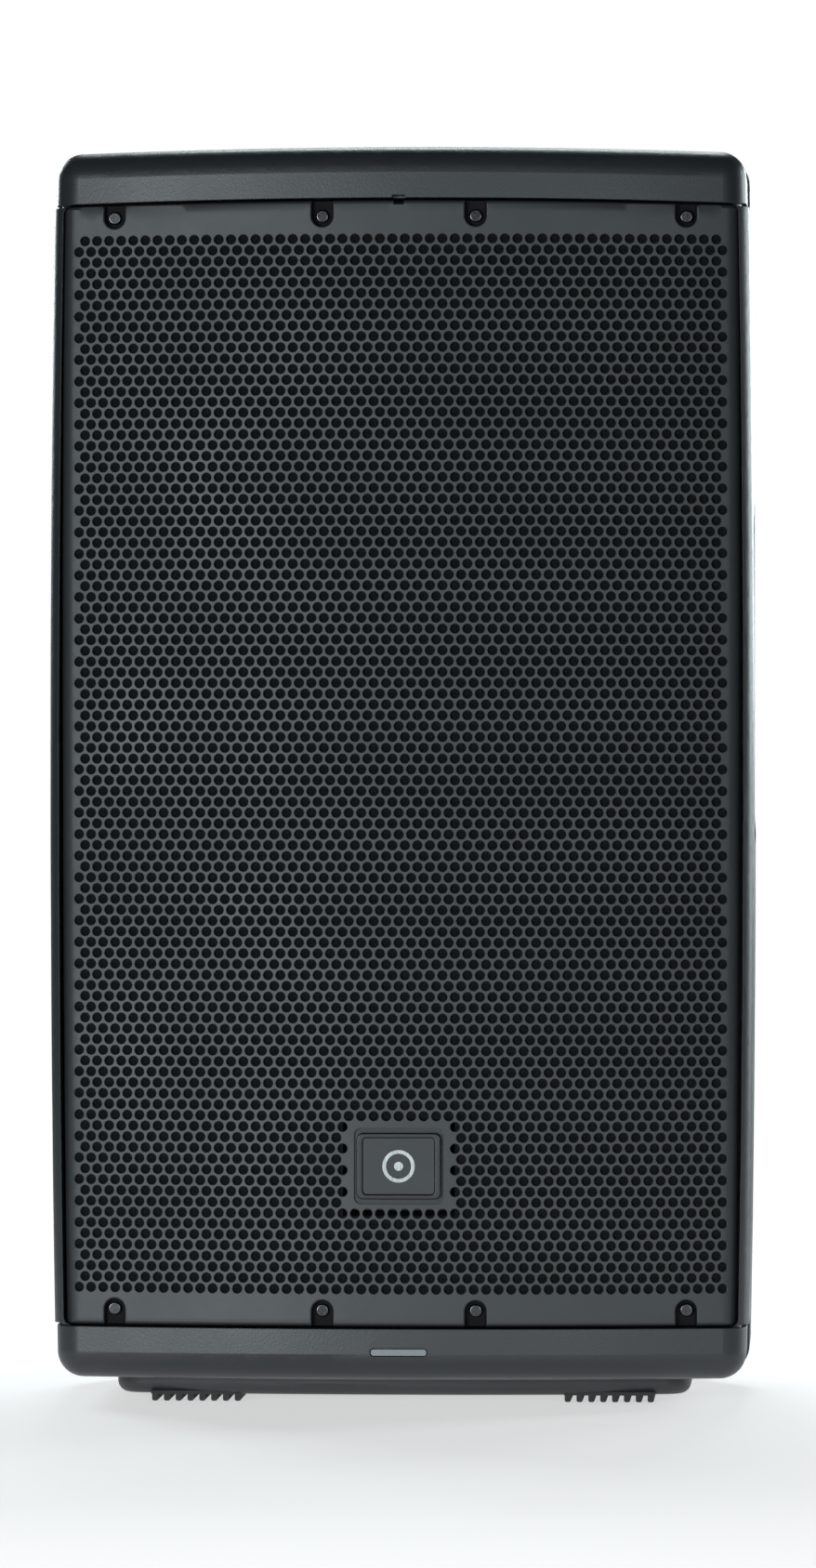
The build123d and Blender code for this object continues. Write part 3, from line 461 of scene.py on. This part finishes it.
def sheet_point(u, v, depth):
    """Face point at (u, v), moved depth into the sheet.  v past an edge rolls back."""
    x, y, nx, ny = section(u, max(Z_LO, min(Z_HI, v)))
    top, bot = edge_top(x) - ROLL_V, Z_LO + ROLL_V
    inset, z, N = 0.0, v, (nx, ny, 0.0)
    for sgn, lim in ((1, top), (-1, bot)):
        d = (v - lim) * sgn
        if d > 0:
            ph = d / ROLL_V
            if ph <= math.pi / 2:
                z = lim + sgn * ROLL_V * math.sin(ph)
                inset = ROLL_V * (1 - math.cos(ph))
                N = (nx * math.cos(ph), ny * math.cos(ph), sgn * math.sin(ph))
            else:
                z = lim + sgn * ROLL_V
                inset = ROLL_V + (d - ROLL_V * math.pi / 2)
                N = (0.0, 0.0, float(sgn))
    return (x - nx * inset - N[0] * depth, y - ny * inset - N[1] * depth, z - N[2] * depth)


PITCH, ROWS, Z_TOP_ROW, Z_LOW_ROW = 5.86, 98, 547.5, 55.3
ROW_P = (Z_TOP_ROW - Z_LOW_ROW) / (ROWS - 1)
HOLE_R = 2.28
LIP = 0.28
SEG = 12
BADGE = (0.0, 113.0, 42.0, 36.0, 3.4)
NOTCH_X = (-134.5, -36.0, 36.0, 134.5)
NOTCH_HALF, NOTCH_DEEP = 5.8, 13.0
POCKET = 6.0


def arc_of(x):
    return R_FACE * math.asin(x / R_FACE)


centres = {}
for k in range(ROWS):
    z = Z_TOP_ROW - k * ROW_P
    odd = k % 2
    cols = range(53) if odd else range(52)
    for i in cols:
        j2 = 2 * i - 52 if odd else 2 * i - 51      # doubled column index
        u = j2 * PITCH / 2
        bx, bz, bw, bh, _r = BADGE
        if abs(u - bx) < bw / 2 + HOLE_R + 0.35 and abs(z - bz) < bh / 2 + HOLE_R + 0.35:
            continue
        centres[(j2, k)] = (u, z)

# hexagonal cells: corners and edge mid points shared between neighbours
a_hex = PITCH / 2
hex_dirs = []
for q in range(SEG):
    ang = math.radians(30 * q)
    if q % 2 == 0:       # edge mid points face the six neighbours
        hex_dirs.append((ang, None))
    else:
        hex_dirs.append((ang, None))
half_row = ROW_P
verts_uv, vert_depth, index = [], [], {}


def vid(u, v, depth=0.0):
    key = (round(u, 3), round(v, 3), round(depth, 3))
    i = index.get(key)
    if i is None:
        i = len(verts_uv)
        index[key] = i
        verts_uv.append((u, v))
        vert_depth.append(depth)
    return i


# corner offsets of a cell (lattice with horizontal rows): mid points towards
# the neighbours at 0, 60, 120 ... degrees, corners between them
NB = [(PITCH, 0.0), (PITCH / 2, ROW_P), (-PITCH / 2, ROW_P), (-PITCH, 0.0),
      (-PITCH / 2, -ROW_P), (PITCH / 2, -ROW_P)]


def cell_ring(u, v):
    pts = []
    for q in range(6):
        a, b = NB[q], NB[(q + 1) % 6]
        pts.append((u + a[0] / 2, v + a[1] / 2))
        pts.append((u + (a[0] + b[0]) / 3, v + (a[1] + b[1]) / 3))
    return pts


front_faces, back_faces, rim_faces = [], [], []
face_row = {"f": [], "b": []}
ring_edges = {}
for (j2, k), (u, z) in centres.items():
    outer_ids, lip_ids, hole_ids = [], [], []
    for q, (pu, pv) in enumerate(cell_ring(u, z)):
        outer_ids.append(vid(pu, pv))
        ang = math.atan2(pv - z, pu - u)
        lip_ids.append(vid(u + (HOLE_R + LIP) * math.cos(ang), z + (HOLE_R + LIP) * math.sin(ang)))
        hole_ids.append(vid(u + HOLE_R * math.cos(ang), z + HOLE_R * math.sin(ang), 0.22))
    for q in range(SEG):
        w = (q + 1) % SEG
        front_faces.append((outer_ids[q], outer_ids[w], lip_ids[w], lip_ids[q])); face_row["f"].append(k)
        front_faces.append((lip_ids[q], lip_ids[w], hole_ids[w], hole_ids[q])); face_row["f"].append(k)
        back_faces.append((outer_ids[q], outer_ids[w], hole_ids[w], hole_ids[q])); face_row["b"].append(k)
        e = (outer_ids[q], outer_ids[w])
        rev = (e[1], e[0])
        if rev in ring_edges:
            del ring_edges[rev]
        else:
            ring_edges[e] = k

# plain margins: constrained triangulation between the lattice's ragged edge
# and the sheet's outline, with extra points where the sheet curves
U_ROLL0 = R_FACE * math.asin((HALF_MAX - ROLL_S) / (R_FACE - ROLL_S))
th_s = math.asin((HALF_MAX - ROLL_S) / (R_FACE - ROLL_S))
U_END = U_ROLL0 + ROLL_S * (math.pi / 2 - th_s) + 1.6
V_TOP = Z_HI - ROLL_V + ROLL_V * math.pi / 2 + FLANGE_V
V_BOT = Z_LO + ROLL_V - ROLL_V * math.pi / 2 - FLANGE_V
cdt_pts, cdt_edges = [], []
cdt_lookup = {}


def cp(u, v):
    key = (round(u, 3), round(v, 3))
    if key not in cdt_lookup:
        cdt_lookup[key] = len(cdt_pts)
        cdt_pts.append((u, v))
    return cdt_lookup[key]


for a, b in ring_edges:
    cdt_edges.append((cp(*verts_uv[a]), cp(*verts_uv[b])))
used = set(cdt_lookup)


def loop(points):
    ids = [cp(*q) for q in points]
    for a, b in zip(ids, ids[1:] + ids[:1]):
        if a != b:
            cdt_edges.append((a, b))


v_edges_top = [V_TOP, Z_HI - ROLL_V + ROLL_V * math.pi / 2] + \
    [Z_HI - ROLL_V + ROLL_V * math.pi / 2 * f for f in (0.8, 0.6, 0.4, 0.2, 0.0)]
v_edges_bot = [V_BOT, Z_LO + ROLL_V - ROLL_V * math.pi / 2] + \
    [Z_LO + ROLL_V - ROLL_V * math.pi / 2 * f for f in (0.8, 0.6, 0.4, 0.2, 0.0)]
u_side = [U_ROLL0 - 3.0, U_ROLL0 - 1.4] + \
    [U_ROLL0 + ROLL_S * (math.pi / 2 - th_s) * f / 12 for f in range(0, 13)] + [U_END]
v_cols = list(np.linspace(Z_LO + ROLL_V + 1.5, Z_HI - ROLL_V - 1.5, 150))
u_cols = list(np.linspace(-U_ROLL0 + 4.0, U_ROLL0 - 4.0, 84))


def notch_loop(cu, top):
    d = 1 if top else -1
    edge = Z_HI if top else Z_LO
    far = (V_TOP if top else V_BOT)
    vc = edge - d * (NOTCH_DEEP - NOTCH_HALF)
    pts = [(cu - NOTCH_HALF, far)]
    vs = (v_edges_top if top else v_edges_bot)[1:]
    for v in vs:
        pts.append((cu - NOTCH_HALF, v))
    pts.append((cu - NOTCH_HALF, vc + d * 3.0))
    for q in range(0, 13):
        a = math.pi * q / 12
        pts.append((cu - NOTCH_HALF * math.cos(a), vc - d * NOTCH_HALF * math.sin(a)))
    pts.append((cu + NOTCH_HALF, vc + d * 3.0))
    for v in reversed(vs):
        pts.append((cu + NOTCH_HALF, v))
    pts.append((cu + NOTCH_HALF, far))
    return pts


def in_notch(u, v):
    for cx in NOTCH_X:
        cu = arc_of(cx)
        if abs(u - cu) < NOTCH_HALF:
            for top in (True, False):
                d = 1 if top else -1
                vc = (Z_HI if top else Z_LO) - d * (NOTCH_DEEP - NOTCH_HALF)
                if (v - vc) * d > 0 or math.hypot(u - cu, v - vc) < NOTCH_HALF:
                    return True
    return abs(u) < 2.4 and v > Z_HI - 2.2


# outline walked with the notches and the locating slot left out of it
def outline():
    pts = []
    top_cuts = sorted([(arc_of(x), NOTCH_HALF, True) for x in NOTCH_X] + [(0.0, 2.4, False)])
    # bottom edge from left to right
    us = [-U_END] + [-u for u in reversed(u_side[:-1])] + u_cols + u_side[:-1] + [U_END]
    bot_cuts = sorted([(arc_of(x), NOTCH_HALF, True) for x in NOTCH_X])

    def walk(cuts, top, us_):
        res = []
        far = V_TOP if top else V_BOT
        done = set()
        for u in us_:
            skip = False
            for c, hw, is_notch in cuts:
                if c - hw - 0.8 < u < c + hw + 0.8:
                    skip = True
                if u >= c - hw - 0.8 and (c, hw) not in done:
                    done.add((c, hw))
                    if is_notch:
                        res += notch_loop(c, top)
                    else:
                        vs = v_edges_top[1:]
                        res += [(c - hw, far)] + [(c - hw, v) for v in vs if v > Z_HI - 2.2] \
                            + [(c - hw, Z_HI - 2.2), (c + hw, Z_HI - 2.2)] \
                            + [(c + hw, v) for v in reversed(vs) if v > Z_HI - 2.2] + [(c + hw, far)]
            if not skip:
                res.append((u, far))
        return res
    pts += walk(bot_cuts, False, us)
    pts += [(U_END, v) for v in list(reversed(v_edges_bot))[::-1][1:]]
    pts += [(U_END, v) for v in v_cols]
    pts += [(U_END, v) for v in list(reversed(v_edges_top))[:-1]]
    top_pts = walk(top_cuts, True, us)
    pts += list(reversed(top_pts))
    pts += [(-U_END, v) for v in v_edges_top[1:]]
    pts += [(-U_END, v) for v in reversed(v_cols)]
    pts += [(-U_END, v) for v in list(reversed(v_edges_bot))[:-1]]
    return pts


out_pts = outline()
clean = [out_pts[0]]
for q in out_pts[1:]:
    if math.hypot(q[0] - clean[-1][0], q[1] - clean[-1][1]) > 0.02:
        clean.append(q)
loop(clean)
bx, bz, bw, bh, br = BADGE
badge_pts = []
for cxs, czs, a0 in ((1, 1, 0), (-1, 1, 90), (-1, -1, 180), (1, -1, 270)):
    for q in range(0, 7):
        a = math.radians(a0 + 15 * q)
        badge_pts.append((bx + cxs * (bw / 2 - br) + br * math.cos(a), bz + czs * (bh / 2 - br) + br * math.sin(a)))
loop(badge_pts)


def in_badge(u, v):
    dx, dz = abs(u - bx) - (bw / 2 - br), abs(v - bz) - (bh / 2 - br)
    if dx <= 0 and dz <= 0:
        return True
    if dx <= 0:
        return dz < br
    if dz <= 0:
        return dx < br
    return math.hypot(dx, dz) < br


def nearest_cell(u, v):
    kf = (Z_TOP_ROW - v) / ROW_P
    best, hit = 1e9, None
    for k in (math.floor(kf), math.floor(kf) + 1):
        par = k % 2
        m = round(u / PITCH) if par else round(u / PITCH - 0.5)
        j2 = 2 * m if par else 2 * m + 1
        for jj in (j2 - 2, j2, j2 + 2):
            uu, vv = jj * PITCH / 2, Z_TOP_ROW - k * ROW_P
            d = (u - uu) ** 2 + (v - vv) ** 2
            if d < best:
                best, hit = d, (jj, k)
    return hit, math.sqrt(best)


def free_of_lattice(u, v, gap):
    """True where (u, v) lies in the plain margin, gap or more away from the lattice's cells."""
    for du, dv in ((0, 0), (gap, 0), (-gap, 0), (0, gap), (0, -gap)):
        if nearest_cell(u + du, v + dv)[0] in centres:
            return False
    return True


extra = []
for s in (-1, 1):
    for u in u_side[:-1]:
        for v in v_cols:
            extra.append((s * u, v))
        for v in v_edges_top[1:] + v_edges_bot[1:]:
            extra.append((s * u, v))
for v in v_edges_top[1:] + v_edges_bot[1:]:
    for u in u_cols:
        extra.append((u, v))
for u in u_cols:
    for v in (41.5, 45.5, 49.5, 553.0, 556.5, 560.0):
        extra.append((u, v))
for (u, v) in extra:
    if in_notch(u, v) or in_badge(u, v):
        continue
    bad = False
    for cx in NOTCH_X:
        cu = arc_of(cx)
        if abs(abs(u - cu) - NOTCH_HALF) < 0.7 and (v > Z_HI - NOTCH_DEEP - 1 or v < Z_LO + NOTCH_DEEP + 1):
            bad = True
        for top in (True, False):
            d = 1 if top else -1
            vc = (Z_HI if top else Z_LO) - d * (NOTCH_DEEP - NOTCH_HALF)
            if abs(math.hypot(u - cu, v - vc) - NOTCH_HALF) < 0.8 and (v - vc) * d < 0.5:
                bad = True
    if abs(abs(u) - 2.4) < 0.6 and v > Z_HI - 3.5 or (abs(u) < 3 and abs(v - (Z_HI - 2.2)) < 0.7):
        bad = True
    if bad or not free_of_lattice(u, v, 1.1):
        continue
    cp(u, v)

res = delaunay_2d_cdt([Vector(q) for q in cdt_pts], cdt_edges, [], 1, 1e-5)
pts_out, _e, tri_out = res[0], res[1], res[2]
margin_ids = {}
for t in tri_out:
    cu = sum(pts_out[i][0] for i in t) / len(t)
    cv = sum(pts_out[i][1] for i in t) / len(t)
    if not (-U_END < cu < U_END and V_BOT < cv < V_TOP):
        continue
    if in_notch(cu, cv) or in_badge(cu, cv):
        continue
    if nearest_cell(cu, cv)[0] in centres:
        # inside a lattice cell only when truly within its hexagon
        continue
    ids = tuple(vid(pts_out[i][0], pts_out[i][1]) for i in t)
    if len(set(ids)) < len(ids):
        continue
    (x1, y1), (x2, y2), (x3, y3) = (verts_uv[i] for i in ids[:3])
    if (x2 - x1) * (y3 - y1) - (x3 - x1) * (y2 - y1) < 0:
        ids = tuple(reversed(ids))
    row = (Z_TOP_ROW - cv) / ROW_P
    front_faces.append(ids); face_row["f"].append(row)
    back_faces.append(ids); face_row["b"].append(row)

UV = verts_uv
bands = [(-99, 24.5), (24.5, 49.5), (49.5, 73.5), (73.5, 999)]
pos_front = [None] * len(UV)
pos_back = [None] * len(UV)
for i, (u, v) in enumerate(UV):
    pos_front[i] = sheet_point(u, v, vert_depth[i])
    pos_back[i] = sheet_point(u, v, SHEET)


def band_piece(name, lo_r, hi_r):
    ff = [f for f, r in zip(front_faces, face_row["f"]) if lo_r <= r < hi_r]
    bf = [f for f, r in zip(back_faces, face_row["b"]) if lo_r <= r < hi_r]
    fmap, bmap, V = {}, {}, []

    def fid(i):
        if i not in fmap:
            fmap[i] = len(V)
            V.append(pos_front[i])
        return fmap[i]

    def bid(i):
        if i not in bmap:
            bmap[i] = len(V)
            V.append(pos_back[i])
        return bmap[i]
    F = []
    edges = {}
    for f in ff:
        # (u, v) is anticlockwise seen from the front with u to the right
        F.append(tuple(fid(i) for i in f))
        for a, b in zip(f, f[1:] + f[:1]):
            if (b, a) in edges:
                del edges[(b, a)]
            else:
                edges[(a, b)] = 1
    for f in bf:
        F.append(tuple(bid(i) for i in reversed(f)))
    for a, b in edges:
        F.append((fid(b), fid(a), bid(a), bid(b)))
    V = [(x * MM, y * MM, z * MM) for x, y, z in V]
    return add_mesh(name, V, F, MATS["grille_steel"], smooth_deg=32.0)


grille_parts = [band_piece("grille_perforated_%d" % (i + 1), a, b) for i, (a, b) in enumerate(bands)]
for g in grille_parts:
    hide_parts("grille")




# ------------------------------------------------ pressed pockets for the screws
def pocket_point(u, v, depth, top):
    """Point at depth behind the face, kept behind the rolled top or bottom edge."""
    x, y, nx, ny = section(u, v)
    lim = (edge_top(x) if top else Z_LO) + (-ROLL_V if top else ROLL_V)
    past = (v - lim) * (1 if top else -1)
    if past > 0:
        depth = max(depth, ROLL_V - math.sqrt(max(ROLL_V ** 2 - min(past, ROLL_V) ** 2, 0.0)))
    return (x - nx * depth, y - ny * depth, v)


def pocket(cx, top, V, F):
    cu, d = arc_of(cx), (1 if top else -1)
    xe = cx
    edge = (edge_top(xe) - 0.15) if top else (Z_LO + 0.15)
    vc = (Z_HI if top else Z_LO) - d * (NOTCH_DEEP - NOTCH_HALF)
    straight = 9
    path = []                                    # (centre u, centre v, direction)
    for i in range(straight):
        v = edge + (vc - edge) * i / straight
        path.append((v, math.pi))
    for q in range(0, 25):
        path.append((None, math.pi - math.pi * q / 24))
    for i in range(straight - 1, -1, -1):
        v = edge + (vc - edge) * i / straight
        path.append((v, 0.0))

    def at(entry, r):
        v, a = entry
        if v is None:
            return cu + r * math.cos(a), vc - d * r * math.sin(a)
        return cu + (r if a == 0.0 else -r), v
    h = NOTCH_HALF
    front = [(h, 0.0), (h - 0.16, 0.02), (h - 0.40, 0.12), (h - 0.62, 0.30), (h - 0.76, 0.56),
             (h - 0.80, 0.85), (h - 0.86, 2.2), (h - 0.92, 3.7), (h - 1.02, 4.1), (h - 1.24, 4.4),
             (h - 1.55, 4.55), (h - 1.9, 4.6)]
    back = [(h, SHEET), (h - 0.04, 3.0), (h - 0.1, 4.9), (h - 0.35, 5.6), (h - 0.9, 5.95), (h - 1.9, POCKET)]
    nF, nB, nP = len(front), len(back), len(path)
    base = len(V)
    for e in path:
        for prof in (front, back):
            for r, dep in prof:
                u, v = at(e, r)
                V.append(tuple(c * MM for c in pocket_point(u, v, dep, top)))
    row = nF + nB

    def fi(i, k):
        return base + i * row + k

    def bi(i, k):
        return base + i * row + nF + k
    faces = []
    for i in range(nP - 1):
        for k in range(nF - 1):
            faces.append((fi(i, k), fi(i + 1, k), fi(i + 1, k + 1), fi(i, k + 1)))
        for k in range(nB - 1):
            faces.append((bi(i, k + 1), bi(i + 1, k + 1), bi(i + 1, k), bi(i, k)))
        faces.append((bi(i, 0), bi(i + 1, 0), fi(i + 1, 0), fi(i, 0)))
    half = nP // 2
    for i in range(half):
        a, b = i, nP - 1 - i
        c, e = i + 1, nP - 2 - i
        if c < e:
            faces.append((fi(a, nF - 1), fi(c, nF - 1), fi(e, nF - 1), fi(b, nF - 1)))
            faces.append((bi(b, nB - 1), bi(e, nB - 1), bi(c, nB - 1), bi(a, nB - 1)))
        elif c == e:
            faces.append((fi(a, nF - 1), fi(c, nF - 1), fi(b, nF - 1)))
            faces.append((bi(b, nB - 1), bi(c, nB - 1), bi(a, nB - 1)))
    faces.append([fi(0, k) for k in range(nF)] + [bi(0, k) for k in range(nB - 1, -1, -1)])
    z = nP - 1
    faces.append([fi(z, k) for k in range(nF - 1, -1, -1)] + [bi(z, k) for k in range(nB)])
    faces.append([fi(0, nF - 1), fi(z, nF - 1), bi(z, nB - 1), bi(0, nB - 1)])
    if not top:
        faces = [tuple(reversed(f)) for f in faces]
    F.extend(faces)


# painted shade: pocket walls and floor deeper than 0.9 mm get a near-black material standing in for the shadow deep
# in the screw notches
MATS["pocket_painted_shade"] = moulded("pocket_painted_shade", (0.006, 0.006, 0.007), rough=(0.7, 0.85), grain=2000.0,
                               depth=0.3, bevel=0, spec=0.25)
V, F = [], []
for cx in NOTCH_X:
    for top in (True, False):
        pocket(cx, top, V, F)
pockets = add_mesh("grille_screw_pockets", V, F, MATS["grille_steel"], smooth_deg=40.0)
pockets.data.materials.append(MATS["pocket_painted_shade"])
# faces deeper than 0.9 mm behind the face take the painted-shade material (index 1)
for poly in pockets.data.polygons:
    c = poly.center
    face_y = (Y_FACE + R_FACE - math.sqrt(R_FACE ** 2 - (c.x / MM) ** 2)) * MM
    poly.material_index = 1 if c.y - face_y > 0.0009 else 0
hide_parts("grille")


# ================================================================== grille foam
def build_foam():
    rng = np.random.default_rng(7)
    us = np.linspace(arc_of(-155.6), arc_of(155.6), 126)
    vs = np.linspace(52.0, 550.8, 200)
    jit = rng.normal(0, 0.11, (len(us), len(vs)))
    V, F, ids = [], [], {}
    for side, depth in ((0, SHEET + 0.45), (1, SHEET + 3.2)):
        for i, u in enumerate(us):
            for j, v in enumerate(vs):
                d = depth + (abs(jit[i, j]) if side == 0 else 0)
                ids[(side, i, j)] = len(V)
                V.append(tuple(c * MM for c in sheet_point(float(u), float(v), d)))
    keep = set()
    for i in range(len(us) - 1):
        for j in range(len(vs) - 1):
            cu, cv = (us[i] + us[i + 1]) / 2, (vs[j] + vs[j + 1]) / 2
            if abs(cu) < 25.2 and abs(cv - 113.0) < 22.2:
                continue
            keep.add((i, j))
    for (i, j) in keep:
        a, b, c, d = (i, j), (i + 1, j), (i + 1, j + 1), (i, j + 1)
        F.append([ids[(0, *q)] for q in (a, b, c, d)])
        F.append([ids[(1, *q)] for q in (d, c, b, a)])
        for (p, q), nb in (((a, b), (i, j - 1)), ((b, c), (i + 1, j)), ((c, d), (i, j + 1)), ((d, a), (i - 1, j))):
            if nb not in keep:
                F.append([ids[(0, *q)], ids[(0, *p)], ids[(1, *p)], ids[(1, *q)]])
    used_ids = sorted({q for f in F for q in f})
    m = {q: k for k, q in enumerate(used_ids)}
    ob = add_mesh("acoustic_foam", [V[q] for q in used_ids], [[m[q] for q in f] for f in F],
                  MATS["foam"], smooth_deg=60)
    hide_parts("grille_foam")
    return ob


build_foam()


# ================================================================ panel markings
def prism_mesh(V, F, poly, y0, y1):
    """Adds a thin closed prism: poly is (x, z) points in mm, seen from the rear side."""
    b = len(V)
    k = len(poly)
    for y in (y0, y1):
        for x, z in poly:
            V.append((x * MM, y * MM, z * MM))
    area = sum(poly[i][0] * poly[(i + 1) % k][1] - poly[(i + 1) % k][0] * poly[i][1] for i in range(k))
    order = list(range(k)) if area < 0 else list(range(k))[::-1]
    F.append([b + k + i for i in order])
    F.append([b + i for i in reversed(order)])
    for s, t in zip(order, order[1:] + order[:1]):
        F.append([b + s, b + t, b + k + t, b + k + s][::-1])


def rect(cx, cz, w, h, ang=0.0):
    c, s = math.cos(ang), math.sin(ang)
    return [(cx + c * x - s * z, cz + s * x + c * z)
            for x, z in ((-w / 2, -h / 2), (w / 2, -h / 2), (w / 2, h / 2), (-w / 2, h / 2))]


def ring_segments(cx, cz, r0, r1, a0, a1, steps):
    out = []
    for i in range(steps):
        s, t = (math.radians(a0 + (a1 - a0) * k / steps) for k in (i, i + 1))
        out.append([(cx + r0 * math.cos(s), cz + r0 * math.sin(s)), (cx + r1 * math.cos(s), cz + r1 * math.sin(s)),
                    (cx + r1 * math.cos(t), cz + r1 * math.sin(t)), (cx + r0 * math.cos(t), cz + r0 * math.sin(t))])
    return out


PANEL_Y = 132.5
V, F = [], []
for cx, kr in ((-44.0, 9.6), (0.0, 9.6), (44.0, 10.6)):
    for i in range(11):
        a = math.radians(90 - 150 + 30 * i)
        r = kr + 2.6
        L = 2.2 if i % 5 == 0 else 1.3
        prism_mesh(V, F, rect(cx + r * math.cos(a), 412.0 + r * math.sin(a), L, 0.45, a), PANEL_Y, PANEL_Y + 0.06)
for cx in (-22.0, 22.0):
    prism_mesh(V, F, rect(cx, 372.0, 0.45, 92.0), PANEL_Y, PANEL_Y + 0.06)
prism_mesh(V, F, rect(0, 324.5, 132.0, 0.5), PANEL_Y, PANEL_Y + 0.06)
prism_mesh(V, F, rect(0, 177.2, 132.0, 0.5), PANEL_Y, PANEL_Y + 0.06)
for cx in (-44.0, 0.0, 44.0):
    for dx in (-5.2, 5.2):
        prism_mesh(V, F, rect(cx + dx, 384.0, 0.45, 7.0), PANEL_Y, PANEL_Y + 0.06)
add_mesh("panel_markings", V, F, INK, smooth_deg=None)

V, F = [], []
for cx, kr, body in ((-44.0, 9.6, "gain_control_1"), (0.0, 9.6, "gain_control_2"), (44.0, 10.6, "master_control")):
    V, F = [], []
    prism_mesh(V, F, rect(cx, 412.0 + (1.7 + kr - 1.6) / 2, 1.0, kr - 1.6 - 1.7), 146.92, 147.52)
    add_mesh("pointer_" + body, V, F, INK, body=body, smooth_deg=None)

# =================================================================== stage, light
def floor_mat():
    """Matt pale floor whose outer part fades away, so that it has no visible edge."""
    m, nt, p = new_mat("stage_floor")
    co = obj_co(nt)
    nt.links.new(ramp(nt, noise(nt, co, 2.0, 2.0), [(0.3, (0.80, 0.80, 0.80)), (0.7, (0.82, 0.82, 0.82))]),
                 p.inputs["Base Color"])
    p.inputs["Roughness"].default_value = 0.8
    p.inputs["Specular IOR Level"].default_value = 0.1
    p.inputs["Emission Color"].default_value = (1.0, 1.0, 1.0, 1.0)
    p.inputs["Emission Strength"].default_value = 0.56
    length = n(nt, "ShaderNodeVectorMath", operation="LENGTH")
    nt.links.new(co, length.inputs[0])
    fade = remap(nt, length.outputs["Value"], 1.0, 0.0, 0.45, 1.5)
    clear_ = n(nt, "ShaderNodeBsdfTransparent")
    mix = n(nt, "ShaderNodeMixShader")
    nt.links.new(fade, mix.inputs[0])
    nt.links.new(clear_.outputs[0], mix.inputs[1])
    nt.links.new(p.outputs[0], mix.inputs[2])
    out = [q for q in nt.nodes if q.type == "OUTPUT_MATERIAL"][0]
    nt.links.new(mix.outputs[0], out.inputs[0])
    return m


def make_floor():
    bm = bmesh.new()
    rings = []
    for r in (0.35, 0.7, 1.1, 1.55):
        rings.append([bm.verts.new((r * math.cos(2 * math.pi * k / 96), r * math.sin(2 * math.pi * k / 96), 0.0))
                      for k in range(96)])
    bm.faces.new(rings[0])
    for a, b in zip(rings, rings[1:]):
        for k in range(96):
            bm.faces.new((a[k], b[k], b[(k + 1) % 96], a[(k + 1) % 96]))
    me = bpy.data.meshes.new("stage_floor")
    bm.to_mesh(me)
    bm.free()
    me.materials.append(floor_mat())
    ob = bpy.data.objects.new("stage_floor", me)
    ob.location = (0, 0, lo.z - 0.0003)
    scene.collection.objects.link(ob)


make_floor()


def area(name, loc, target, size, power, col=(1, 1, 1), size_y=None, spread=None):
    d = bpy.data.lights.new(name, "AREA")
    d.energy = power
    d.color = col
    d.shape = "RECTANGLE"
    d.size = size
    d.size_y = size_y or size
    if spread:
        d.spread = math.radians(spread)
    o = bpy.data.objects.new(name, d)
    scene.collection.objects.link(o)
    o.location = loc
    look_at(o, target)
    return o


COOL = (0.87, 0.972, 1.0)
area("key_front", (-1.35, -3.7, 0.36), (0, 0, 0.3), 1.15, 62.0, COOL, size_y=1.05)
area("front_soft", (1.05, -4.5, 0.42), (0, 0, 0.3), 1.1, 27.0, COOL, size_y=0.9)
area("rear_left", (-2.1, 3.4, 1.5), (0, 0, 0.3), 1.3, 70.0, COOL, size_y=1.6)
area("rear_right", (3.0, 2.2, 0.9), (0, 0, 0.3), 1.1, 60.0, COOL, size_y=1.6)
area("rear_key", (1.7, 4.0, 0.95), (0, 0.1, 0.3), 1.1, 52.0, COOL, size_y=1.1)
area("rear_soft", (-1.6, 4.2, 1.3), (0, 0.1, 0.3), 1.3, 16.0, COOL, size_y=1.1)
area("rear_top", (0.0, 2.6, 3.0), (0, 0.1, 0.4), 1.2, 40.0, COOL, size_y=0.8)
world = bpy.data.worlds.new("world")
scene.world = world
world.use_nodes = True
wt = world.node_tree
wt.nodes.clear()
w_out = wt.nodes.new("ShaderNodeOutputWorld")
lit = wt.nodes.new("ShaderNodeBackground")
lit.inputs[0].default_value = (0.93, 0.97, 1.0, 1)
lit.inputs[1].default_value = 0.055
seen = wt.nodes.new("ShaderNodeBackground")
seen.inputs[0].default_value = (1.0, 1.0, 1.0, 1)
seen.inputs[1].default_value = 1.0
path_ = wt.nodes.new("ShaderNodeLightPath")
wm = wt.nodes.new("ShaderNodeMixShader")
wt.links.new(path_.outputs["Is Camera Ray"], wm.inputs[0])
wt.links.new(lit.outputs[0], wm.inputs[1])
wt.links.new(seen.outputs[0], wm.inputs[2])
wt.links.new(wm.outputs[0], w_out.inputs[0])
scene.view_settings.view_transform = "Standard"
scene.view_settings.look = "None"
